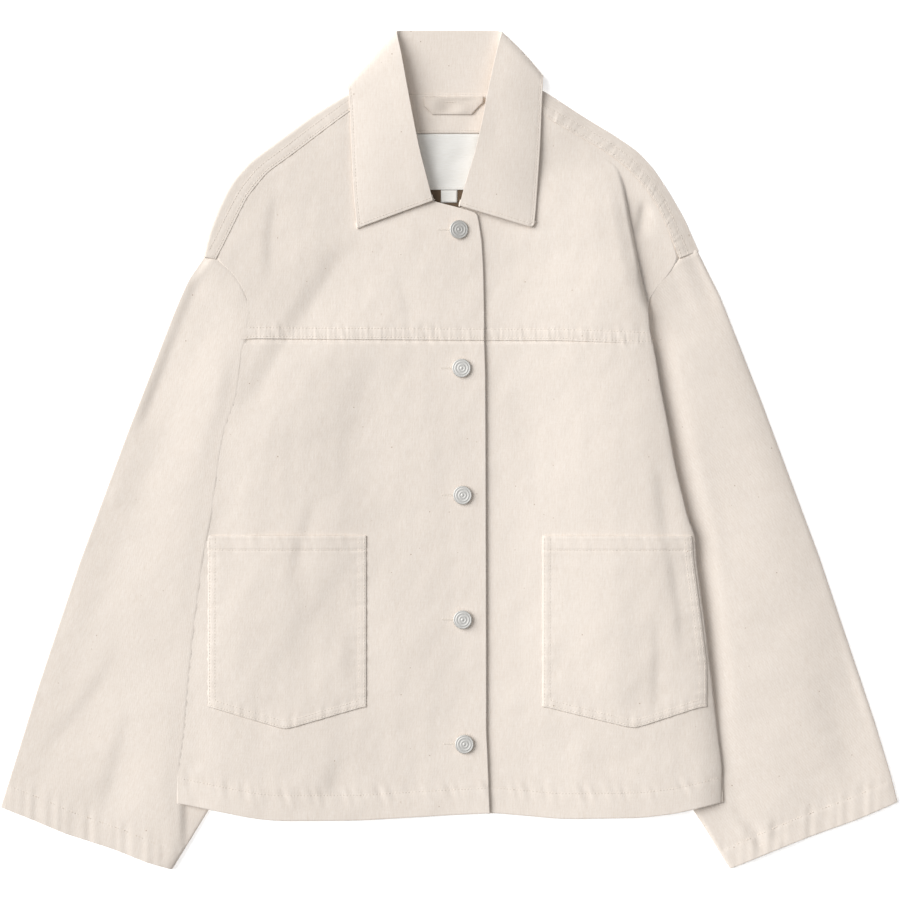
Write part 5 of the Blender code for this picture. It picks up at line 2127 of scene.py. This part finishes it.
    def dress(self) -> bpy.types.Object:
        """Topstitching near the free edges."""
        fall_start = self.stand_points + self.roll_points - 2
        body = self.grid[self.end_rows:-self.end_rows]
        lines = []
        count = body.shape[1] - 8
        outer = []
        for row in body:
            fall = row[fall_start:count + 1]
            run = route_lengths(fall)
            outer.append([np.interp(run[-1] - self.stitch, run, fall[:, k]) for k in range(3)])
        outer = np.array(outer)
        shown = outer[:, 2] > 3.0
        half = len(outer) // 2
        for half_line, keep in ((outer[:half], shown[:half]), (outer[half:], shown[half:])):
            line = half_line[keep]
            run = route_lengths(line)
            low = self.stitch if line[0][1] < self.front_y else 0.0
            high = run[-1] - (self.stitch if line[-1][1] < self.front_y else 0.0)
            lines.append(along_route(line, np.linspace(low, high, len(line))))
        for end in (0, -1):
            rows = body[:12] if end == 0 else body[::-1][:12]
            line = []
            for col in range(fall_start, count + 1):
                run = route_lengths(rows[:, col])
                line.append([np.interp(self.stitch, run, rows[:, col, k]) for k in range(3)])
            line = np.array(line)
            run = route_lengths(line)
            lines.append(along_route(line, np.linspace(1.0, run[-1] - self.stitch, 60)))
        return Thread().sew("collar_topstitch", lines, self.finishes.thread)


# Neck -------------------------------------------------------------------------------
@dataclass
class Neck:
    """What shows inside the neck: the facing, the hanger loop (in a darker copy of the denim, painted
    shade), the label and its tab, and a dark sheet of painted shade below the label.
    """

    finishes: Finishes
    lap: float = 0.9            # from one layer of its cloth to the next

    def patch(self, name: str, patch: Patch, lift: float, finish: bpy.types.Material, slot: Slot,
              wall: float, cuts: Sequence[Spot] = (), seed: int = 61,
              rise: float = 0.25) -> bpy.types.Object:
        """A small flat piece that lies on the back.

        Args:
            name: The node it stands for.
            patch: Its edges.
            lift: From the back's cloth to its upper face.
            finish: Its material.
            slot: Its material slot.
            wall: Its thickness.
            cuts: Where its low and its high end are cut back from, and to, at the bottom.
            seed: Chooses its unevenness.
            rise: How uneven it is.

        Returns:
            The object.
        """
        y = lines_between(patch.y_high, patch.y_low, 1.5)
        share = np.linspace(0.0, 1.0, int((patch.x_high - patch.x_low) / 1.5) + 1)
        low, high = np.full((len(y), 1), patch.x_low), np.full((len(y), 1), patch.x_high)
        if cuts:
            down = [np.clip((cut.y - y) / (cut.y - patch.y_low), 0.0, 1.0)[:, None] ** 0.8 for cut in cuts]
            low, high = low + (cuts[0].x - low) * down[0], high + (cuts[1].x - high) * down[1]
        x = low + (high - low) * share
        yy = np.repeat(y[:, None], x.shape[1], axis=1)
        edge = np.minimum(np.minimum(yy - patch.y_low, patch.y_high - yy),
                          np.minimum(x - x[:, :1], x[:, -1:] - x))
        z = LAY.back(x, np.minimum(yy, NECK_FACING.y_high)) + lift
        z = z + rise * unevenness(x, yy, 14.0, seed) * smooth(edge / 4.0)
        z = z - 0.25 * (1.0 - smooth(edge / 1.6))
        z = z + 0.2 * bell(edge - 1.6, 1.2) - 0.15 * bell(edge - 3.2, 0.9)
        made = cloth_piece(name, np.stack([x, yy, z], axis=2), finish, wall)
        # The sheet of painted shade below the label stands for no node.
        return settle(made, slot, (name,) if name != "inside" else ())

    def build(self) -> list[bpy.types.Object]:
        """Make the four pieces and the dark sheet of painted shade below the label."""
        # facing is the darker copy of the denim, painted shade, used on the hanger loop.
        facing, label = self.finishes.facing, self.finishes.label
        on_back = LAY.wall / 2 + 0.4
        return [
            self.patch("neck_facing", NECK_FACING._replace(y_high=337.0), self.lap + SKIN,
                       self.finishes.denim, Slot.DENIM, 0.8, seed=62),
            self.patch("hanger_loop", HANGER_LOOP, 2 * self.lap + 1.2, facing, Slot.DENIM, 0.9,
                       (Spot(-16.3, 325.0), Spot(21.7, 328.5)), 63, 0.5),
            # A dark brown sheet of painted shade below the label, where the back's inside lies in shadow.
            self.patch("inside", SHADE_SHEET_BELOW_LABEL, on_back, self.finishes.inside, Slot.DENIM, 0.3, rise=0.0),
            self.patch("label", LABEL, on_back + 0.7, label, Slot.LABEL, 0.4, seed=64, rise=0.3),
            self.patch("size_tab", SIZE_TAB, on_back + 0.6, label, Slot.LABEL, 0.4, seed=65, rise=0.1),
        ]

    def dress(self) -> bpy.types.Object:
        """Stitching of the facing, the label and the hanger loop."""
        def lift(x: Array, y: Array, extra: float) -> Array:
            """Height on the back, raised by extra."""
            return LAY.back(x, np.minimum(y, NECK_FACING.y_high)) + extra

        lines = []
        for x0, y0, x1, y1, extra in (
                (-48.0, 302.5, 48.0, 302.5, self.lap + SKIN),
                (LABEL.x_low + 1.6, LABEL.y_high - 1.8, LABEL.x_high - 1.6, LABEL.y_high - 1.8, 1.6),
                (LABEL.x_low + 1.6, LABEL.y_low + 1.8, LABEL.x_high - 1.6, LABEL.y_low + 1.8, 1.6),
                (LABEL.x_low + 1.8, LABEL.y_high - 2.0, LABEL.x_low + 1.8, LABEL.y_low + 2.0, 1.6),
                (LABEL.x_high - 1.8, LABEL.y_high - 2.0, LABEL.x_high - 1.8, LABEL.y_low + 2.0, 1.6),
                (-17.0, 332.9, 28.0, 332.9, 2 * self.lap + SKIN),
                (-17.0, 329.1, 28.0, 329.1, 2 * self.lap + SKIN)):
            route = np.array([(x0, y0), (x1, y1)])
            lines.append(on_surface(route, lambda x, y, e=extra: lift(x, y, e)))
        small = Thread(pitch=2.6, length=1.9, radius=0.26)
        return small.sew("neck_stitches", lines, self.finishes.thread)


# Pockets ----------------------------------------------------------------------------
@dataclass
class Pocket:
    """A patch pocket with a turned mouth and a pointed bottom, sewn on its front."""

    front: Front
    shape: PocketShape
    finishes: Finishes
    step: float = 2.0
    lift: float = 1.1
    mouth: float = 13.7         # depth of the turned mouth
    edge_row: float = 2.2
    second_row: float = 7.2

    @property
    def name(self) -> str:
        """Its node."""
        return f"pocket_{self.front.side.word}"

    def bottom(self, x: Array) -> Array:
        """Its lower edge."""
        s = self.shape
        return soft_read(x, [s.x_low, s.point_x, s.x_high], [s.side_bottom, s.point, s.side_bottom], 7.0)

    def low_x(self, y: Array) -> Array:
        """Its edge at the lower X."""
        return np.full(np.shape(y), self.shape.x_low)

    def high_x(self, y: Array) -> Array:
        """Its edge at the higher X, which follows the side fold on the left front.

        Args:
            y: Heights in plan.

        Returns:
            The X of the edge at each.
        """
        if self.front.side is Side.RIGHT:
            return np.full(np.shape(y), self.shape.x_high)
        fold = self.front.outer_at(y)
        return np.minimum(self.shape.x_high + 5.5 * smooth((-100.0 - y) / 100.0), fold - 3.2)

    def distances(self, x: Array, y: Array) -> tuple[Array, Array]:
        """Distance from the nearest sewn edge, and along it.

        Args:
            x: Places' X.
            y: Places' Y.

        Returns:
            The distance in from the edge, and the place along it.
        """
        slope = math.hypot(1.0, (self.shape.side_bottom - self.shape.point) / 76.0)
        gaps = np.stack([x - self.low_x(y), self.high_x(y) - x, (y - self.bottom(x)) / slope])
        nearest = np.argmin(gaps, axis=0)
        return np.min(gaps, axis=0), np.where(nearest == 2, x, y)

    def surface(self, x: Array, y: Array) -> Array:
        """Height of its upper face.

        Args:
            x: Places' X.
            y: Places' Y.

        Returns:
            The height at each place.
        """
        edge, along = self.distances(x, y)
        from_mouth = self.shape.top - y
        z = self.front.surface(x, y) + self.lift
        z = z - 0.26 * bell(edge - self.edge_row, 1.1) - 0.24 * bell(edge - self.second_row, 1.2)
        z = z + 0.2 * smooth((self.second_row + 1.5 - edge) / 2.5)
        z = z + 0.1 * wobble(along, 4.4, 75) * smooth((self.second_row + 2.0 - edge) / 2.5)
        z = z - 0.5 * (1.0 - smooth(edge / 1.3)) - 0.5 * (1.0 - smooth((x - self.low_x(y)) / 2.6))
        fold = wobble(along, 11.0, 71) * smooth((self.second_row + 9.0 - edge) / 10.0)
        z = z + 0.26 * fold
        z = z - 0.28 * bell(from_mouth - self.mouth, 1.2) + 0.2 * smooth((self.mouth - from_mouth) / 2.0)
        z = z + 0.12 * wobble(x + 0.3 * y, 12.0, 72) * smooth((self.mouth + 8.0 - from_mouth) / 9.0)
        z = z - 0.14 * (bell(from_mouth - 4.6, 1.1) + bell(from_mouth - 9.2, 1.1))
        z = z - 0.45 * (1.0 - smooth(from_mouth / 2.0))
        if self.front.side is Side.RIGHT:       # its edge melts into the front on the lit side
            z = z - 0.6 * (1.0 - smooth((x - self.low_x(y)) / 9.0))
        inside = smooth((edge - 8.0) / 20.0)
        z = z + 0.5 * smooth((22.0 - from_mouth) / 22.0) * inside
        return z + 0.5 * inside * unevenness(x, y, 45.0, 73)

    def build(self) -> bpy.types.Object:
        """The pocket's cloth."""
        s = self.shape
        share = lines_between(0.0, 1.0, self.step / 150.0, (0.0, 1.0), 0.8 / 150.0, 4.0 / 150.0)
        down = lines_between(0.0, 1.0, self.step / 172.0, (0.0, self.mouth / 172.0, 1.0), 0.8 / 172.0,
                             4.0 / 172.0)
        rough_y = s.top + (s.side_bottom - s.top) * down[:, None]
        x = self.low_x(rough_y) + (self.high_x(rough_y) - self.low_x(rough_y)) * share[None, :]
        y = s.top + (self.bottom(x) - s.top) * down[:, None]
        x = self.low_x(y) + (self.high_x(y) - self.low_x(y)) * share[None, :]
        grid = np.stack([x, y, self.surface(x, y)], axis=2)
        return settle(cloth_piece(self.name, grid, self.finishes.denim), Slot.DENIM, (self.name,))

    def dress(self) -> bpy.types.Object:
        """Rows of stitching round it and across its mouth."""
        s = self.shape
        lines = []
        for inset in (self.edge_row, self.second_row):
            y = np.linspace(s.top - 2.0, s.side_bottom + inset, 60)
            left = np.column_stack([self.low_x(y) + inset, y])
            right = np.column_stack([self.high_x(y) - inset, y])[::-1]
            x = np.linspace(left[-1, 0], right[0, 0], 80)[1:-1]
            below = np.column_stack([x, self.bottom(x) + inset * 1.04])
            lines.append(on_surface(np.concatenate([left, below, right]), self.surface))
        y = np.full(60, s.top - self.mouth)
        x = np.linspace(self.low_x(y[:1])[0] + 3.0, self.high_x(y[:1])[0] - 3.0, 60)
        lines.append(on_surface(np.column_stack([x, y]), self.surface))
        return Thread().sew(f"{self.name}_topstitch", lines, self.finishes.thread)


# Buttons ----------------------------------------------------------------------------
@dataclass
class Buttons:
    """Tack buttons with a raised bare face, and the worked buttonholes beside them."""

    front: Front
    finishes: Finishes
    seat: float = 0.2
    sides: int = 72
    outline: Route = ((0.0, 3.36), (0.8, 3.34), (1.15, 3.12), (2.5, 3.1), (2.8, 3.24), (3.3, 3.24),
                      (3.6, 3.1), (5.3, 3.07), (5.6, 3.21), (6.2, 3.21), (6.5, 3.05), (7.5, 3.02),
                      (7.8, 3.14), (8.4, 3.1), (8.75, 2.8), (8.9, 2.4), (8.8, 2.1), (8.3, 1.95),
                      (3.6, 1.9), (3.3, 1.6), (3.2, 0.0), (0.0, 0.0))
    hole_half: float = 11.5
    hole_gap: float = 0.5
    hole_shift: float = -8.0    # from the button's centre to the hole's
    whips: int = 150            # sections of thread round a hole
    whip: float = 0.28          # half the width of its thread
    uneven: float = 0.04        # and how much that varies

    def rest(self, place: ButtonPlace) -> float:
        """Height of the cloth under a button."""
        at = np.array([place.x]), np.array([place.y])
        fold = self.front.fold_at(at[1])
        return float((LAY.front(at[0], at[1], fold, Side.RIGHT) + LAY.placket_lift)[0]) + SKIN

    def build(self) -> list[bpy.types.Object]:
        """Make every button."""
        made = []
        for number, place in enumerate(BUTTONS, start=1):
            made.append(self.button(f"button_{number}", place))
        return made

    def button(self, node: str, place: ButtonPlace) -> bpy.types.Object:
        """Turn a button's outline round its axis.

        Args:
            node: The node it stands for.
            place: Its centre and lean.

        Returns:
            The object.
        """
        turn = np.linspace(0.0, 2.0 * math.pi, self.sides, endpoint=False)
        ring = [(0.0, 0.0, self.outline[0][1])]
        faces = []
        rows = self.outline[1:-1]
        for radius, z in rows:
            ring += [(radius * math.cos(t), radius * math.sin(t), z) for t in turn]
        ring.append((0.0, 0.0, self.outline[-1][1]))
        for k in range(self.sides):
            nxt = (k + 1) % self.sides
            faces.append((0, 1 + k, 1 + nxt))
            for r in range(len(rows) - 1):
                a, b = 1 + r * self.sides, 1 + (r + 1) * self.sides
                faces.append((a + k, b + k, b + nxt, a + nxt))
            a = 1 + (len(rows) - 1) * self.sides
            faces.append((a + nxt, a + k, len(ring) - 1))
        made = add_object(f"{node}_metal", ring, faces, self.finishes.metal)
        made.location = (place.x * MM, place.y * MM, (self.rest(place) + self.seat) * MM)
        made.rotation_euler = (0.0, math.radians(place.tilt), 0.0)
        return settle(made, Slot.METAL, (node,))

    def dress(self) -> bpy.types.Object:
        """Work the buttonholes: a close whip of thread round each slit."""
        points, faces = [], []
        sections, sides = self.whips, 8
        for place in BUTTONS:
            centre_x, centre_y = place.x + self.hole_shift, place.y
            straight = self.hole_half - self.hole_gap
            run = 4.0 * straight + 2.0 * math.pi * self.hole_gap
            base = len(points)
            for k in range(sections):
                at = run * k / sections
                x, y, nx, ny = self.stadium(at, straight)
                fat = self.whip + self.uneven * (math.sin(math.pi * k + 0.7) + math.sin(k * 1.7))
                px, py = centre_x + x, centre_y + y
                z = float(self.front.surface(np.array([px]), np.array([py]))[0])
                for s in range(sides):
                    a = 2.0 * math.pi * s / sides
                    points.append((px + nx * fat * 1.3 * math.cos(a), py + ny * fat * 1.3 * math.cos(a),
                                   z + fat * 0.8 * math.sin(a)))
            for k in range(sections):
                for s in range(sides):
                    a, b = base + k * sides, base + (k + 1) % sections * sides
                    t = (s + 1) % sides
                    faces.append((a + s, b + s, b + t, a + t))
        return settle(add_object("buttonhole_whipping", points, faces, self.finishes.thread), Slot.DENIM)

    def stadium(self, at: float, straight: float) -> tuple[float, float, float, float]:
        """A place on a buttonhole's outline and its outward direction.

        Args:
            at: Length along the outline.
            straight: Half the length of its straight sides.

        Returns:
            x, y and the outward direction.
        """
        gap, bend = self.hole_gap, math.pi * self.hole_gap
        if at < 2.0 * straight:
            return -straight + at, gap, 0.0, 1.0
        at -= 2.0 * straight
        if at < bend:
            a = math.pi / 2 - at / gap
            return straight + gap * math.cos(a), gap * math.sin(a), math.cos(a), math.sin(a)
        at -= bend
        if at < 2.0 * straight:
            return straight - at, -gap, 0.0, -1.0
        a = -math.pi / 2 - (at - 2.0 * straight) / gap
        return -straight + gap * math.cos(a), gap * math.sin(a), math.cos(a), math.sin(a)


# Studio -----------------------------------------------------------------------------
@dataclass(frozen=True)
class Studio:
    """The board, soft light from the upper left and a camera straight above."""

    board: float = 6.0
    lens: float = 100.0
    sensor: float = 36.0
    frame_width: float = 0.855      # of the picture, on the board
    centre: tuple[float, float] = (0.0008, -0.0005)
    sky_top: float = 0.6
    sky_side: float = 0.1
    key_strength: float = 3.15
    key_height: float = 36.0        # above the board, in degrees
    key_turn: float = 22.0          # from the viewer's left towards the top
    key_softness: float = 50.0

    def build(self) -> None:
        """Make the board, the lights and the camera."""
        half = self.board / 2
        mesh = bpy.data.meshes.new("board")
        mesh.from_pydata([(-half, -half, 0.0), (half, -half, 0.0), (half, half, 0.0),
                          (-half, half, 0.0)], [], [(0, 1, 2, 3)])
        mesh.materials.append(PaleBoard().build())
        board = bpy.data.objects.new("board", mesh)
        board.location.z = -0.0004
        bpy.context.scene.collection.objects.link(board)

        world = bpy.data.worlds.new("soft_sky")
        bpy.context.scene.world = world
        world.use_nodes = True
        tree = world.node_tree
        way = add_node(tree, "TexCoord").outputs["Generated"]
        height = add_node(tree, "SeparateXYZ", links={"Vector": way}).outputs["Z"]
        strength = add_node(tree, "MapRange", {"interpolation_type": "SMOOTHSTEP"}, {
            "From Min": 0.4, "To Min": self.sky_side, "To Max": self.sky_top},
            {"Value": height}).outputs["Result"]
        tree.links.new(strength, tree.nodes["Background"].inputs["Strength"])
        tree.nodes["Background"].inputs["Color"].default_value = (1.0, 1.0, 1.0, 1.0)

        lamp = bpy.data.lights.new("key", "SUN")
        lamp.energy, lamp.angle = self.key_strength, math.radians(self.key_softness)
        key = bpy.data.objects.new("key", lamp)
        key.rotation_euler = (0.0, math.radians(self.key_height - 90.0), math.radians(-self.key_turn))
        bpy.context.scene.collection.objects.link(key)

        eye = bpy.data.cameras.new("camera")
        eye.lens, eye.sensor_width = self.lens, self.sensor
        camera = bpy.data.objects.new("camera", eye)
        distance = self.frame_width * self.lens / self.sensor
        camera.location = (*self.centre, distance)
        bpy.context.scene.collection.objects.link(camera)
        bpy.context.scene.camera = camera
        bpy.context.scene.view_settings.view_transform = "Standard"


def main() -> None:
    """Build, dress and light the jacket."""
    logging.basicConfig(level=logging.INFO, format="%(name)s: %(message)s")
    finishes = make_finishes()
    right, left = Front(Side.RIGHT, finishes), Front(Side.LEFT, finishes)
    back = Back(finishes)
    sleeves = [Sleeve(right, finishes), Sleeve(left, finishes)]
    collar = Collar(finishes)
    neck = Neck(finishes)
    pockets = [Pocket(right, RIGHT_POCKET, finishes), Pocket(left, LEFT_POCKET, finishes)]
    buttons = Buttons(right, finishes)

    cloth = {
        "back": back.build(),
        "right_body": right.build_body(),
        "right_yoke": right.build_yoke(),
        "left_body": left.build_body(),
        "left_yoke": left.build_yoke(),
        "right_sleeve": sleeves[0].build(),
        "left_sleeve": sleeves[1].build(),
        "collar": collar.build(),
    }
    neck.build()
    buttons.build()
    for pocket in pockets:
        pocket.build()
    for piece in (back, right, left, *sleeves, collar, neck, *pockets, buttons):
        piece.dress()
    Studio().build()


if __name__ == "__main__":
    main()
